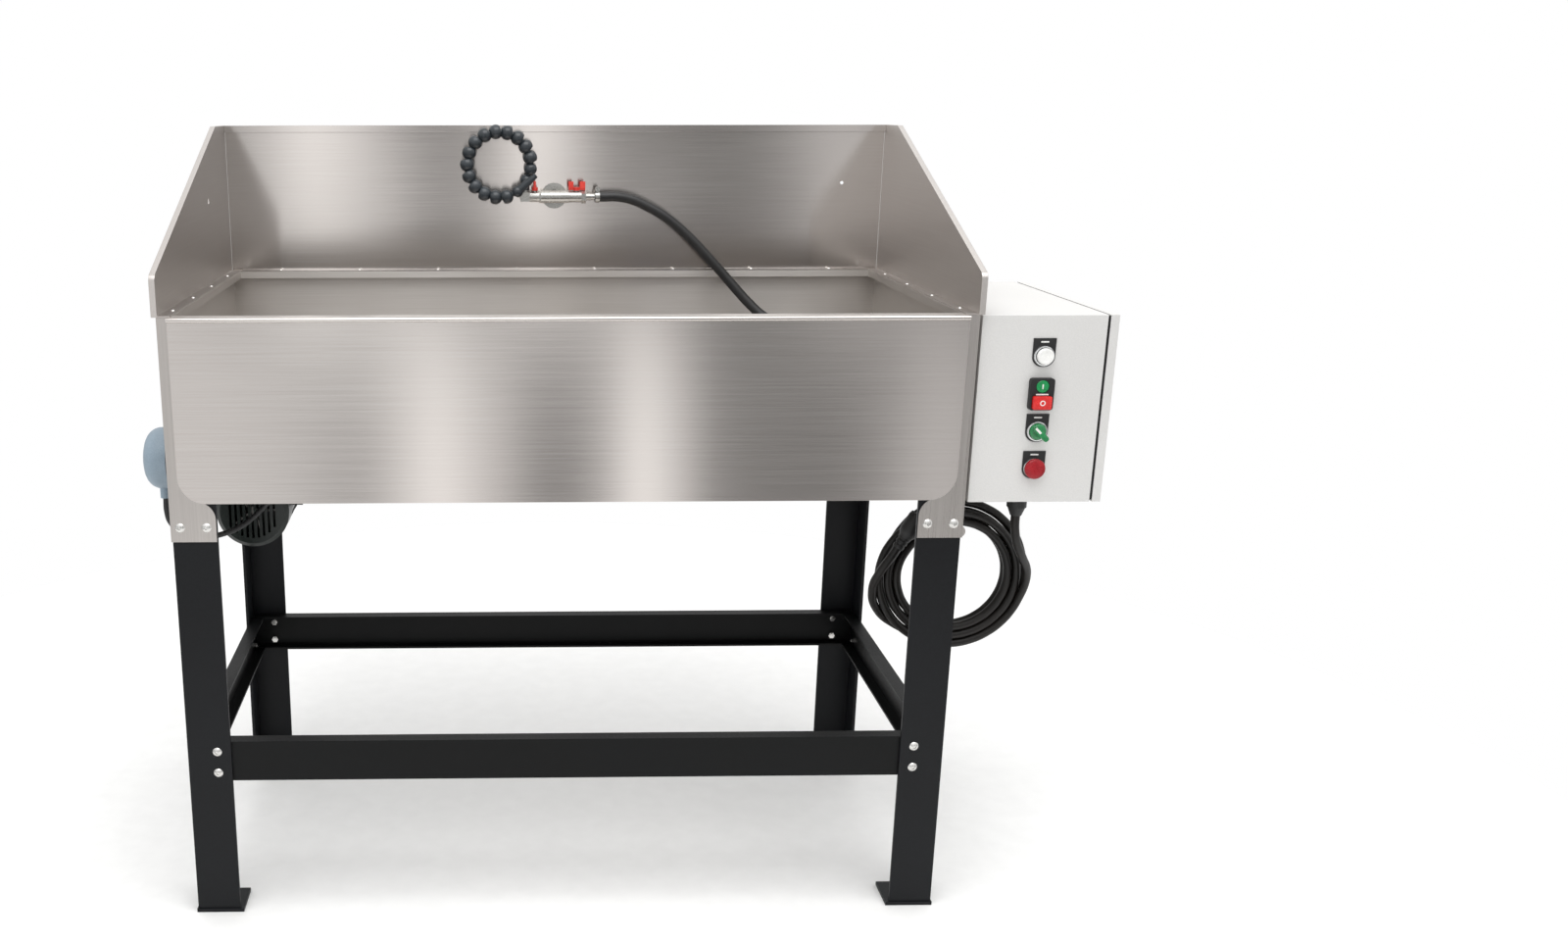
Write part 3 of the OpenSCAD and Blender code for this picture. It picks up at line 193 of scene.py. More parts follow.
tail_points_mm = [
    (558, -153, 430), (543, -154, 439), (528, -156, 450), (516, -161, 464), (507, -166, 480),
    (503, -172, 498), (503, -178, 516), (508, -184, 532), (516, -188, 549), (527, -190, 567),
    (534, -190, 579)]


def coil_point(turned_deg):
    """Where the wound cable lies after turning so far clockwise. Once a turn, on the upper left,
    it climbs to the next track; the innermost turn bulges inwards while it changes layers."""
    turn = int((coil_start_deg - turned_deg) // 360)
    in_turn = -((coil_start_deg - turned_deg) % 360) + coil_start_deg
    share = min(1.0, max(0.0, (shift_from_deg - in_turn) / (shift_from_deg - shift_to_deg)))
    ease = share * share * (3 - 2 * share)
    here = coil_tracks_mm[turn]
    there = coil_tracks_mm[min(turn + 1, len(coil_tracks_mm) - 1)]
    radius = here[0] + (there[0] - here[0]) * ease
    if here[1] != there[1]:
        radius -= layer_change_bulge_mm * math.sin(math.pi * ease)
    y = here[1] + (there[1] - here[1]) * ease
    angle = math.radians(turned_deg)
    return (coil_middle_mm[0] + radius * math.cos(angle), y, coil_middle_mm[2] + radius * math.sin(angle))


turned_angles = range(coil_start_deg, coil_end_deg - coil_whole_turns * 360, -coil_step_deg)
cable_points_mm = lead_points_mm + [coil_point(a) for a in turned_angles] + tail_points_mm
cable_rubber = new_finish("neoprene_cable_sheath", ("#0d0b09", "#1a1613"), (0.32, 0.5), 3.0, 0.02,
    cloud_mm=70, Specular_IOR_Level=0.35)
cable = cord_along("mains_cable", cable_points_mm, cable_d, cable_rubber)
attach(cable, "tank")
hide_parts("power_cable", "cable_coil")

# ------------------------------------------------------------------ plug and gland
# Moulded rubber plug on the cable's end, with a ribbed grip and two pins, and
# the hexagonal nylon gland that holds the cable in the cabinet's bottom.
# Injection-moulded: dull black, with a fine spark-eroded texture.
plug_base = Vector((0.534, -0.190, 0.579))
plug_lean_deg = 31
plug_outline_mm = [(8.6, 0), (8.6, 1), (9.4, 2), (9.4, 6), (8.4, 7), (8.4, 9), (9.8, 10), (9.8, 14),
                   (8.8, 15), (8.8, 17), (10.6, 18), (10.6, 22), (14.6, 28), (15.9, 34), (15.9, 58), (14.4,
                       63.6), (0.4, 63.8)]
pin_outline_mm = [(2.3, 0), (2.3, 13), (1.7, 15), (0.3, 15.8)]


smooth_deg = 35


def select_only(piece):
    """Makes one piece the selected and active one."""
    bpy.ops.object.select_all(action="DESELECT")
    piece.select_set(True)
    bpy.context.view_layer.objects.active = piece


def set_down(piece, name, finish):
    """Closes a modelled piece: its place goes into its mesh, its faces point out, its curves are smooth."""
    select_only(piece)
    bpy.ops.object.transform_apply(location=True, rotation=True, scale=True)
    bpy.ops.object.mode_set(mode="EDIT")
    bpy.ops.mesh.select_all(action="SELECT")
    bpy.ops.mesh.remove_doubles(threshold=0.00001)
    bpy.ops.mesh.normals_make_consistent(inside=False)
    bpy.ops.object.mode_set(mode="OBJECT")
    bpy.ops.object.shade_smooth_by_angle(angle=math.radians(smooth_deg))
    piece.name = name
    piece.data.materials.clear()
    piece.data.materials.append(finish)
    return piece


def turned(name, outline_mm, base, towards, finish, sides=48):
    """A turned piece: a round blank drawn out along its axis, through each (radius, height) in turn."""
    radius, height = (v / 1000 for v in outline_mm[0])
    bpy.ops.mesh.primitive_circle_add(vertices=sides, radius=radius, fill_type="NGON", location=(0, 0, 0))
    piece = bpy.context.object
    bpy.ops.object.mode_set(mode="EDIT")
    bpy.ops.mesh.select_all(action="SELECT")
    bpy.ops.transform.translate(value=(0, 0, height))
    for next_radius, next_height in outline_mm[1:]:
        next_radius, next_height = next_radius / 1000, next_height / 1000
        bpy.ops.mesh.extrude_region_move(TRANSFORM_OT_translate={"value": (0, 0, next_height - height)})
        if abs(next_radius - radius) > 1e-7:
            scale = next_radius / radius
            bpy.ops.transform.resize(value=(scale, scale, 1))
        radius, height = next_radius, next_height
    bpy.ops.object.mode_set(mode="OBJECT")
    piece.rotation_euler = Vector(towards).to_track_quat("Z", "Y").to_euler()
    piece.location = base
    return set_down(piece, name, finish)


def rounded(node, radius_mm, finish, chosen=None):
    """The finished piece for a CAD node: its shape with the sharp edges rounded over. Chosen picks
    the edges by their middle point; without it every sharp edge is rounded."""
    source = frame["nodes"][node]
    piece = source.copy()
    piece.data = source.data.copy()
    for mark in list(piece.keys()):
        del piece[mark]
    piece.parent = None
    bpy.context.scene.collection.objects.link(piece)
    select_only(piece)
    bpy.ops.mesh.customdata_custom_splitnormals_clear()
    bpy.ops.object.mode_set(mode="EDIT")
    bpy.ops.mesh.select_all(action="SELECT")
    bpy.ops.mesh.remove_doubles(threshold=0.00001)
    bpy.ops.mesh.dissolve_limited(angle_limit=math.radians(0.6))
    bpy.ops.mesh.select_mode(type="EDGE")
    bpy.ops.mesh.select_all(action="DESELECT")
    mesh = bmesh.from_edit_mesh(piece.data)
    for edge in mesh.edges:
        sharp = edge.is_manifold and edge.calc_face_angle() > math.radians(30)
        middle = (edge.verts[0].co + edge.verts[1].co) / 2
        edge.select = sharp and (chosen is None or chosen(middle))
    mesh.select_flush_mode()
    bmesh.update_edit_mesh(piece.data)
    bpy.ops.mesh.bevel(offset=radius_mm / 1000, segments=2, profile=0.6, clamp_overlap=True)
    bpy.ops.object.mode_set(mode="OBJECT")
    bpy.ops.object.shade_smooth_by_angle(angle=math.radians(32))
    flats = piece.modifiers.new("flat faces stay flat", "WEIGHTED_NORMAL")
    flats.weight = 100
    flats.keep_sharp = True
    bpy.ops.object.modifier_apply(modifier=flats.name)
    piece.name = node + "_piece"
    piece.data.materials.clear()
    piece.data.materials.append(finish)
    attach(piece, source["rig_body"])
    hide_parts(node)
    return piece


def finish_nodes(nodes, finish):
    """Gives CAD nodes that are shown as they are their finish."""
    for node in nodes:
        for place in frame["nodes"][node].material_slots:
            place.link = "OBJECT"
            place.material = finish


moulded_black = new_finish("moulded_black_nylon", ("#131314", "#1f1f20"), (0.42, 0.6), 1.2, 0.02, cloud_mm=60)
nickel = new_finish("nickel_plated_brass", ("#9d9c98", "#b6b5b1"), (0.2, 0.34), 2.0, 0.006, cloud_mm=40,
    Metallic=1.0)
plug_axis = Vector((math.sin(math.radians(plug_lean_deg)), 0, math.cos(math.radians(plug_lean_deg))))
plug = turned("plug_body", plug_outline_mm, plug_base, plug_axis, moulded_black, 32)
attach(plug, "tank")
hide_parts("power_plug")
plug_pins = [turned(f"plug_pin_{i}", pin_outline_mm, plug_base + plug_axis * 0.0625 + Vector((0,
    side * 0.007, 0)),
                    plug_axis, nickel, 16) for i, side in enumerate((-1, 1))]
for pin in plug_pins:
    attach(pin, "tank")
gland = rounded("cable_gland", 0.8, moulded_black)

# ------------------------------------------------------------------ stand
# Four pressed angle legs with welded feet, tied by four channel braces, and
# the two rails below the basin. Mild steel, powder-coated: charcoal satin
# with the fine orange-peel relief that the coating takes as it flows out.
powder_charcoal = new_finish("charcoal_powder_coat", ("#0c0d10", "#131518"), (0.38, 0.52), 2.6, 0.02,
    Specular_IOR_Level=0.22)
powder_black = new_finish("black_powder_coat", ("#070808", "#0d0e0f"), (0.4, 0.55), 2.6, 0.02,
    Specular_IOR_Level=0.18)
for leg in ("front_left_leg", "front_right_leg", "rear_left_leg", "rear_right_leg"):
    rounded(leg, 1.2, powder_charcoal)
for brace in ("front_brace", "rear_brace", "left_brace", "right_brace", "tank_rails"):
    rounded(brace, 1.0, powder_black)

# ------------------------------------------------------------------ frame screws
# Button-head hexagon-socket screws, two through every post and brace end,
# each with its nut inside the leg. Cold-headed stainless, bright all over.
bright_steel = new_finish("bright_stainless_fastener", ("#c6c5c2", "#e0dfdc"), (0.16, 0.28), 1.5, 0.004,
    cloud_mm=30, Metallic=1.0)
finish_nodes(["frame_screws", "splash_rivets"], bright_steel)

# ------------------------------------------------------------------ corner posts and front apron
# Folded stainless posts that join the basin to the legs, and the flat apron
# with its round lower corners and rolled top edge. Sheet with a ground finish:
# its long fine scratches run along the sheet and draw reflections out upwards.
sheet_wave_mm = 260
sheet_wave_depth_mm = 0.16


def brushed(name, colours, roughness, along, anisotropic):
    """Ground stainless sheet. The scratches are drawn coarser than real to show, and a shallow
    relief as wide as a hand stands for the slight waves of thin sheet."""
    stretch = tuple(160 if i == along else 1 for i in range(3))
    finish = new_finish(name, colours, roughness, 1.1, 0.0012, stretch, 500, Metallic=1.0,
        Anisotropic=anisotropic)
    shader = finish.node_tree.nodes["Principled BSDF"]
    links = finish.node_tree.links
    place = add_node(finish, "ShaderNodeTexCoord")
    wave = add_node(finish, "ShaderNodeTexNoise", {"Vector": place.outputs["Object"],
        "Scale": 1000 / sheet_wave_mm, "Detail": 1.0})
    waves = add_node(finish, "ShaderNodeBump", {
        "Height": wave.outputs[0], "Distance": sheet_wave_depth_mm / 1000, "Strength": 1.0,
        "Normal": shader.inputs["Normal"].links[0].from_socket})
    links.new(waves.outputs[0], shader.inputs["Normal"])
    if anisotropic:
        upwards = add_node(finish, "ShaderNodeCombineXYZ", {"Z": 1.0})
        links.new(upwards.outputs[0], shader.inputs["Tangent"])
    return finish


apron_steel = brushed("ground_stainless_across", ("#c0bab6", "#cac5c1"), (0.12, 0.16), 0, 0.88)
post_steel = brushed("ground_stainless_upright", ("#b3aeaa", "#c1bcb8"), (0.27, 0.36), 2, 0.0)
rounded("corner_posts", 0.5, post_steel)
rounded("front_panel", 0.5, apron_steel)

# ------------------------------------------------------------------ basin
# One welded tray with its inward rim, the shelves for the grids and the two
# slotted grids. Stainless sheet, duller inside where parts are washed.
basin_steel = brushed("washed_stainless_basin", ("#c2bdb8", "#cecac6"), (0.4, 0.5), 0, 0.65)
grid_steel = brushed("punched_stainless_grid", ("#b2ada9", "#c0bcb8"), (0.26, 0.36), 0, 0.0)
rounded("tank_shell", 0.5, basin_steel)
finish_nodes(["grid_supports"], basin_steel)
finish_nodes(["left_work_grid", "right_work_grid"], grid_steel)

# ------------------------------------------------------------------ splash guard
# Back panel with a hemmed top edge and two cut-back side panels with folded
# flanges, riveted on the rim. The same ground stainless sheet.
guard_steel = brushed("ground_stainless_back", ("#c0bab6", "#cac5c1"), (0.12, 0.16), 0, 0.88)
side_steel = brushed("ground_stainless_side", ("#c0bab6", "#cbc7c3"), (0.32, 0.42), 1, 0.7)
rounded("splash_back", 0.5, guard_steel)
for guard in ("splash_left", "splash_right"):
    rounded(guard, 0.5, side_steel)

# ------------------------------------------------------------------ heater
# Screw-in immersion heater: steel loops inside the basin and a moulded
# terminal cap outside the left wall. The cap is blue-grey glass-filled nylon.
heater_scale = new_finish("heated_steel_tube", ("#5f5952", "#8b857d"), (0.35, 0.6), 3.0, 0.02, cloud_mm=50,
    Metallic=1.0)
cap_nylon = new_finish("blue_grey_nylon", ("#7b8c99", "#93a3b0"), (0.38, 0.52), 1.6, 0.02, cloud_mm=60)
finish_nodes(["heater_element"], heater_scale)
rounded("heater_head", 1.0, cap_nylon)

# ------------------------------------------------------------------ pump and drain
# Cast pump and finned motor hung under the basin, fed through a strainer,
# and the drain valve behind. Castings with a dark green stove enamel.
pump_enamel = new_finish("dark_green_enamel", ("#0d1512", "#16201c"), (0.28, 0.42), 4.0, 0.06, cloud_mm=80)
machined = new_finish("machined_steel", ("#8e8c89", "#a8a6a2"), (0.25, 0.4), 1.0, 0.01, cloud_mm=50,
    Metallic=1.0)
fitting_steel = new_finish("cast_stainless_fitting", ("#989590", "#b1aea9"), (0.28, 0.44), 2.0, 0.03,
    cloud_mm=50, Metallic=1.0)
red_vinyl = new_finish("red_dipped_vinyl", ("#a81f22", "#c42a2a"), (0.32, 0.45), 2.0, 0.02, cloud_mm=30)
hose_black = new_finish("braided_hose_rubber", ("#181819", "#232324"), (0.4, 0.6), 2.0, 0.06, cloud_mm=80)
rounded("pump_casing", 1.6, pump_enamel)
finish_nodes(["pump_motor"], pump_enamel)
finish_nodes(["pump_rotor"], machined)
finish_nodes(["suction_fitting"], fitting_steel)
rounded("pump_bracket", 1.0, powder_black)
rounded("drain_valve", 0.8, fitting_steel)
rounded("drain_lever", 1.0, red_vinyl)

# ------------------------------------------------------------------ supply hose
# Rubber hose that carries the liquid from the pump up behind the basin to the
# manifold. It is held at both ends and lies close to the back wall.
supply_points_mm = [
    (-430, 78, 640), (-412, 78, 640), (-388, 84, 639), (-366, 100, 636), (-352, 124, 634), (-345, 152, 633),
    (-342, 182, 632), (-341, 212, 632), (-339, 242, 633), (-335, 272, 638), (-328, 298, 650), (-318, 317,
        670),
    (-306, 326, 698), (-291, 328, 730), (-270, 328, 765), (-240, 328, 800), (-200, 328, 834), (-155, 328,
        865),
    (-110, 328, 897), (-70, 328, 930), (-38, 328, 965), (-16, 328, 1003), (-6, 328, 1040), (-3, 328, 1078)]
supply = cord_along("supply_hose_run", supply_points_mm, 0.019, hose_black)
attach(supply, "tank")
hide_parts("supply_hose")

# ------------------------------------------------------------------ manifold and valves
# Flanged tee through the back panel with a small ball valve on each side, red
# wing levers, and the worm clamp on the hose. Nickel-plated brass, bright.
lever_red = new_finish("red_acetal_lever", ("#c92e26", "#e04438"), (0.28, 0.4), 1.5, 0.01, cloud_mm=20)
for fitting in ("manifold_flange", "manifold_tee", "left_valve", "right_valve"):
    rounded(fitting, 0.5, nickel)
for lever in ("left_valve_lever", "right_valve_lever"):
    rounded(lever, 0.7, lever_red)
rounded("hose_clamp", 0.4, nickel)

# ------------------------------------------------------------------ ball-joint hose
# Ring of snapped-together acetal links that ends in a tapered spout. Injection
# moulded: dark grey with a soft sheen on every ball. The balls are plumper than
# the solids, except by the riser, where the valve's lever swings past.
acetal = new_finish("dark_grey_acetal", ("#22272b", "#343a3f"), (0.24, 0.36), 1.2, 0.01, cloud_mm=30)
ball_swell_mm = 1.5
riser_top = Vector((-0.057, 0.262, 1.125))
swell_from = 0.030
swell_over = 0.015
for links_node in ("lower_hose_links", "upper_hose_links"):
    links_piece = rounded(links_node, 0.3, acetal)
    select_only(links_piece)
    bpy.ops.mesh.customdata_custom_splitnormals_clear()
    bpy.ops.object.mode_set(mode="EDIT")
    mesh = bmesh.from_edit_mesh(links_piece.data)
    mesh.normal_update()
    steps = []
    for corner in mesh.verts:
        share = ((corner.co - riser_top).length - swell_from) / swell_over
        steps.append(corner.normal * ball_swell_mm / 1000 * min(1, max(0, share)))
    for corner, step in zip(mesh.verts, steps):
        corner.co += step
    bmesh.update_edit_mesh(links_piece.data)
    bpy.ops.object.mode_set(mode="OBJECT")
    bpy.ops.object.shade_smooth_by_angle(angle=math.radians(50))
finish_nodes(["round_nozzle"], acetal)

# ------------------------------------------------------------------ wash brush
# Flow-through brush that lies on the grid: moulded blue handle, and a ring of
# stiff nylon bristles round the outlet.
brush_base = Vector((0.290, -0.049, 0.8772))
brush_outline_mm = [(10.2, 0), (12.4, 4), (12.6, 20), (12.0, 30), (10.8, 46), (10.8, 66), (12.0, 84),
    (12.6, 95),
                    (14.0, 99), (14.0, 118), (12.6, 120.5), (0.4, 121)]
bristle_outline_mm = [(1.5, 0), (1.3, 20), (1.0, 42), (0.3, 44)]
bristle_rings = [(4.5, 6), (8.0, 11), (11.0, 16)]
brush_blue = new_finish("blue_polypropylene", ("#2a4888", "#35599f"), (0.32, 0.46), 1.6, 0.02, cloud_mm=30)
bristle_nylon = new_finish("cream_nylon_bristle", ("#cfc8b4", "#e6e0cf"), (0.4, 0.55), 1.0, 0.02, cloud_mm=12)
handle = turned("brush_handle", brush_outline_mm, brush_base, (-1, 0, 0), brush_blue, 40)
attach(handle, "tank")
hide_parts("wash_brush")
first_bristle = turned("brush_bristles", bristle_outline_mm, (0, 0, 0), (-1, 0, 0), bristle_nylon, 8)
bristles = bmesh.new()
for ring_mm, count in bristle_rings:
    for i in range(count):
        angle = math.tau * i / count
        out = Vector((0, math.cos(angle), math.sin(angle)))
        tuft = bmesh.new()
        tuft.from_mesh(first_bristle.data)
        for corner in tuft.verts:
            corner.co += brush_base + Vector((-0.1195, 0, 0)) + out * ring_mm / 1000
            corner.co += out * (0.0026 * (-corner.co.x + brush_base.x - 0.1195) / 0.044)
        copy = bpy.data.meshes.new("tuft")
        tuft.to_mesh(copy)
        bristles.from_mesh(copy)
        tuft.free()
bristles.to_mesh(first_bristle.data)
bristles.free()
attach(first_bristle, "tank")

# ------------------------------------------------------------------ control cabinet
# Folded steel box on spacer bars, with a hinged door on its outer side. Light
# grey powder coat: a fine even texture, softly bright along the folds.
cabinet_grey = new_finish("light_grey_powder_coat", ("#cbcac8", "#d6d5d3"), (0.42, 0.54), 1.6, 0.03,
    cloud_mm=400)
gasket_foam = new_finish("black_foam_gasket", ("#0d0d0e", "#171718"), (0.75, 0.9), 1.5, 0.05, cloud_mm=30)
zinc_yellow = new_finish("yellow_passivated_plate", ("#b3944a", "#cdb46c"), (0.3, 0.45), 3.0, 0.01,
    cloud_mm=60, Metallic=0.9)
device_grey = new_finish("grey_moulded_device", ("#3b4045", "#50565c"), (0.4, 0.55), 1.4, 0.02, cloud_mm=60)
cabinet_low, cabinet_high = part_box("cabinet_body")


def outer_cabinet(middle):
    """True on the outside folds of the box, which are rounded more than its cut edges."""
    sides = [abs(middle.x - cabinet_low.x) < 1e-4, abs(middle.x - cabinet_high.x) < 0.005,
             abs(middle.y - cabinet_low.y) < 1e-4, abs(middle.z - cabinet_low.z) < 1e-4,
                 abs(middle.z - cabinet_high.z) < 1e-4]
    return sum(sides) >= 2


rounded("cabinet_body", 1.8, cabinet_grey, outer_cabinet)
rounded("cabinet_door", 0.9, cabinet_grey)
finish_nodes(["door_gasket"], gasket_foam)
rounded("door_lock", 0.6, moulded_black)
finish_nodes(["mounting_plate"], zinc_yellow)
rounded("control_gear", 1.0, device_grey)
rounded("cabinet_brackets", 0.8, post_steel)

# ------------------------------------------------------------------ legend plates
# Black engraving plates behind the controls, square at the top and round at
# the bottom, and the chromed collar of each control. The plates carry only a
# plain white bar where a real one is engraved.
control_x = 0.702
face_y = cabinet_low.y
lamp_z = cabinet_low.z + 0.054
selector_z = lamp_z + 0.057
twin_z = selector_z + 0.057
white_z = twin_z + 0.057
plate_w = 0.034
plate_t = 0.0015
collar_outline_mm = [(12.5, 0), (15.4, 0), (15.4, 2.2), (14.7, 3.6), (13.4, 4.0), (12.5, 3.6), (12.5, 0.2)]
plate_black = new_finish("matt_black_engraving_laminate", ("#0e0e0f", "#161617"), (0.45, 0.55), 1.2, 0.008,
    cloud_mm=30)
engraving_white = new_finish("white_engraving_fill", ("#d9d9d6", "#eeeeec"), (0.5, 0.6), 1.0, 0.005,
    cloud_mm=10)
chrome = new_finish("chromed_zinc_collar", ("#c9cacb", "#e1e2e3"), (0.1, 0.2), 1.5, 0.003, cloud_mm=15,
    Metallic=1.0)


def slab(name, low, high, finish, corner_mm, chosen, steps=8):
    """A flat block between two corners, with the edges that the test picks rounded."""
    low, high = Vector(low), Vector(high)
    bpy.ops.mesh.primitive_cube_add(size=1, location=(low + high) / 2, scale=high - low)
    piece = bpy.context.object
    bpy.ops.object.transform_apply(location=True, rotation=True, scale=True)
    bpy.ops.object.mode_set(mode="EDIT")
    bpy.ops.mesh.select_mode(type="EDGE")
    bpy.ops.mesh.select_all(action="DESELECT")
    mesh = bmesh.from_edit_mesh(piece.data)
    for edge in mesh.edges:
        edge.select = chosen(edge.verts[0].co - (low + high) / 2, edge.verts[1].co - (low + high) / 2)
    mesh.select_flush_mode()
    bmesh.update_edit_mesh(piece.data)
    bpy.ops.mesh.bevel(offset=corner_mm / 1000, segments=steps, clamp_overlap=True)
    bpy.ops.mesh.select_all(action="SELECT")
    bpy.ops.object.mode_set(mode="OBJECT")
    edge_round = piece.modifiers.new("edge round", "BEVEL")
    edge_round.width = 0.00025
    edge_round.segments = 2
    edge_round.limit_method = "ANGLE"
    edge_round.angle_limit = math.radians(40)
    bpy.ops.object.modifier_apply(modifier=edge_round.name)
    return set_down(piece, name, finish)


def lower_upright(a, b):
    """True on the two lower edges that run from front to back."""
    return a.z < 0 and b.z < 0 and abs(a.y - b.y) > 1e-6


def every_upright(a, b):
    """True on the four edges that run from front to back."""
    return abs(a.y - b.y) > 1e-6


def bored(piece, cutter):
    """Cuts the shape of a second piece out of the first and takes the second away."""
    select_only(piece)
    cut = piece.modifiers.new("bore", "BOOLEAN")
    cut.operation = "DIFFERENCE"
    cut.solver = "EXACT"
    cut.object = cutter
    bpy.ops.object.modifier_apply(modifier=cut.name)
    bpy.data.objects.remove(cutter)
    bpy.ops.object.shade_smooth_by_angle(angle=math.radians(35))


for control, z in (("lamp", lamp_z), ("selector", selector_z), ("white", white_z)):
    plate = slab(f"legend_plate_{control}", (control_x - plate_w / 2, face_y - plate_t, z - 0.0168),
                 (control_x + plate_w / 2, face_y, z + 0.026), plate_black, 15.5, lower_upright)
    bored(plate, turned("plate_bore", [(11.2, 0), (11.2, 6)], (control_x, face_y + 0.003, z), (0, -1, 0),
        plate_black))
    mark = slab(f"legend_mark_{control}", (control_x - 0.006, face_y - plate_t - 0.0003, z + 0.0195),
                (control_x + 0.006, face_y - plate_t + 0.0002, z + 0.0217), engraving_white, 0.6,
                    every_upright, 3)
    collar = turned(f"collar_{control}", collar_outline_mm, (control_x, face_y - plate_t, z), (0, -1, 0),
        chrome, 48)
    for piece, slot in ((plate, "black_plastic"), (mark, "white_plastic"), (collar, "bright_fastener")):
        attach(piece, "tank")
twin = slab("twin_frame", (control_x - 0.018, face_y - 0.009, twin_z - 0.024),
            (control_x + 0.018, face_y, twin_z + 0.024), plate_black, 4.5, every_upright, 5)
bored(twin, turned("start_bore", [(9.9, 0), (9.9, 14)], (control_x, face_y + 0.002, twin_z + 0.012), (0,
    -1, 0), plate_black))
bored(twin, slab("stop_bore", (control_x - 0.0144, face_y - 0.012, twin_z - 0.0224),
                 (control_x + 0.0144, face_y + 0.002, twin_z - 0.0016), plate_black, 3.0, every_upright, 4))
backing = slab("twin_backing", (control_x - 0.0175, face_y - 0.0006, twin_z - 0.0235),
               (control_x + 0.0175, face_y + 0.0004, twin_z + 0.0235), plate_black, 4.5, every_upright, 5)
window = slab("twin_window", (control_x - 0.0095, face_y - 0.0094, twin_z - 0.0011),
              (control_x + 0.0095, face_y - 0.0088, twin_z + 0.0011), engraving_white, 0.8, every_upright, 3)
for piece, slot in ((twin, "black_plastic"), (backing, "black_plastic"), (window, "white_plastic")):
    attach(piece, "tank")
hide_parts("legend_plates")

# ------------------------------------------------------------------ push buttons
# White push button in its collar, and the twin's flush green start and raised
# red stop, each with its plain white symbol. Glossy moulded thermoplastic.
white_cap_mm = [(9.0, 5.8), (12.0, 6.0), (12.0, 10.4), (11.4, 11.6), (10.0, 12.0), (8.4, 11.6), (4.0,
    11.3), (0.3, 11.3)]
start_cap_mm = [(8.0, 5.8), (9.3, 6.0), (9.3, 8.7), (8.7, 9.4), (0.3, 9.5)]
cap_white = new_finish("white_polycarbonate_cap", ("#e4e4e1", "#f2f2ef"), (0.2, 0.3), 2.0, 0.005, cloud_mm=12)
cap_green = new_finish("green_polycarbonate_cap", ("#0c7a40", "#149552"), (0.2, 0.3), 2.0, 0.005, cloud_mm=12)
cap_red = new_finish("red_polycarbonate_cap", ("#c21f1f", "#dc2f2b"), (0.2, 0.3), 2.0, 0.005, cloud_mm=12)
white_cap = turned("white_button_cap", white_cap_mm, (control_x, face_y, white_z), (0, -1, 0), cap_white)
start_cap = turned("start_button_cap", start_cap_mm, (control_x, face_y, twin_z + 0.012), (0, -1, 0),
    cap_green)
stop_cap = slab("stop_button_cap", (control_x - 0.0139, face_y - 0.0149, twin_z - 0.0219),
                (control_x + 0.0139, face_y - 0.0058, twin_z - 0.0021), cap_red, 2.6, every_upright, 4)
start_mark = slab("start_mark", (control_x - 0.0009, face_y - 0.0098, twin_z + 0.0082),
                  (control_x + 0.0009, face_y - 0.0094, twin_z + 0.0158), engraving_white, 0.5,
                      every_upright, 3)
stop_ring_mm = [(2.6, 0), (4.1, 0), (4.1, 0.4), (2.6, 0.4), (2.6, 0.05)]
stop_mark = turned("stop_mark", stop_ring_mm, (control_x, face_y - 0.0146, twin_z - 0.012), (0, -1, 0),
    engraving_white, 32)
for piece, body, node, slot in (
        (white_cap, "white_push", "white_button", "white_plastic"), (start_cap, "start_push",
            "start_button", "green_plastic"),
        (stop_cap, "stop_push", "stop_button", "red_plastic"), (start_mark, "start_push", None,
            "white_plastic"),
        (stop_mark, "stop_push", None, "white_plastic")):
    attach(piece, body)
    if node:
        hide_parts(node)

# ------------------------------------------------------------------ selector and lamp
# Green illuminated selector with its lever handle and white index line, and
# the red lamp with a low domed lens. Tinted transparent plastic over a reflector.
selector_base_mm = [(8.0, 0.2), (12.0, 0.4), (12.0, 7.2), (11.2, 8.6), (9.6, 9.4), (0.3, 9.5)]
lamp_lens_mm = [(10.0, 4.3), (15.2, 4.5), (15.4, 5.0), (15.4, 8.4), (14.9, 9.8), (13.6, 10.8), (9.5, 11.9),
    (4.8, 12.5), (0.3, 12.6)]
tinted_green = new_finish("tinted_green_acrylic", ("#0b6b38", "#128a4a"), (0.12, 0.22), 1.5, 0.006,
    cloud_mm=10, Coat_Weight=0.4)
tinted_red = new_finish("tinted_red_acrylic", ("#86101a", "#a31822"), (0.22, 0.32), 1.5, 0.008,
    cloud_mm=10, Specular_IOR_Level=0.35)
selector = turned("selector_base", selector_base_mm, (control_x, face_y - 0.0015, selector_z), (0, -1, 0),
    tinted_green)
grip = slab("selector_grip", (-0.0042, -0.0188, -0.0165), (0.0042, -0.0106, 0.0118), tinted_green, 3.6,
    every_upright, 4)
index = slab("selector_index", (-0.0017, -0.0192, -0.0005), (0.0017, -0.0186, 0.0112), engraving_white,
    0.9, every_upright, 3)
for piece in (grip, index):
    piece.rotation_euler = (0, math.radians(-45), 0)
    piece.location = (control_x, face_y, selector_z)
    set_down(piece, piece.name, piece.data.materials[0])
for piece, slot in ((selector, "green_plastic"), (grip, "green_plastic"), (index, "white_plastic")):
    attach(piece, "selector")
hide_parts("selector_knob")
lamp = turned("red_lamp_lens", lamp_lens_mm, (control_x, face_y - 0.0015, lamp_z), (0, -1, 0), tinted_red)
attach(lamp, "tank")
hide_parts("red_lamp")

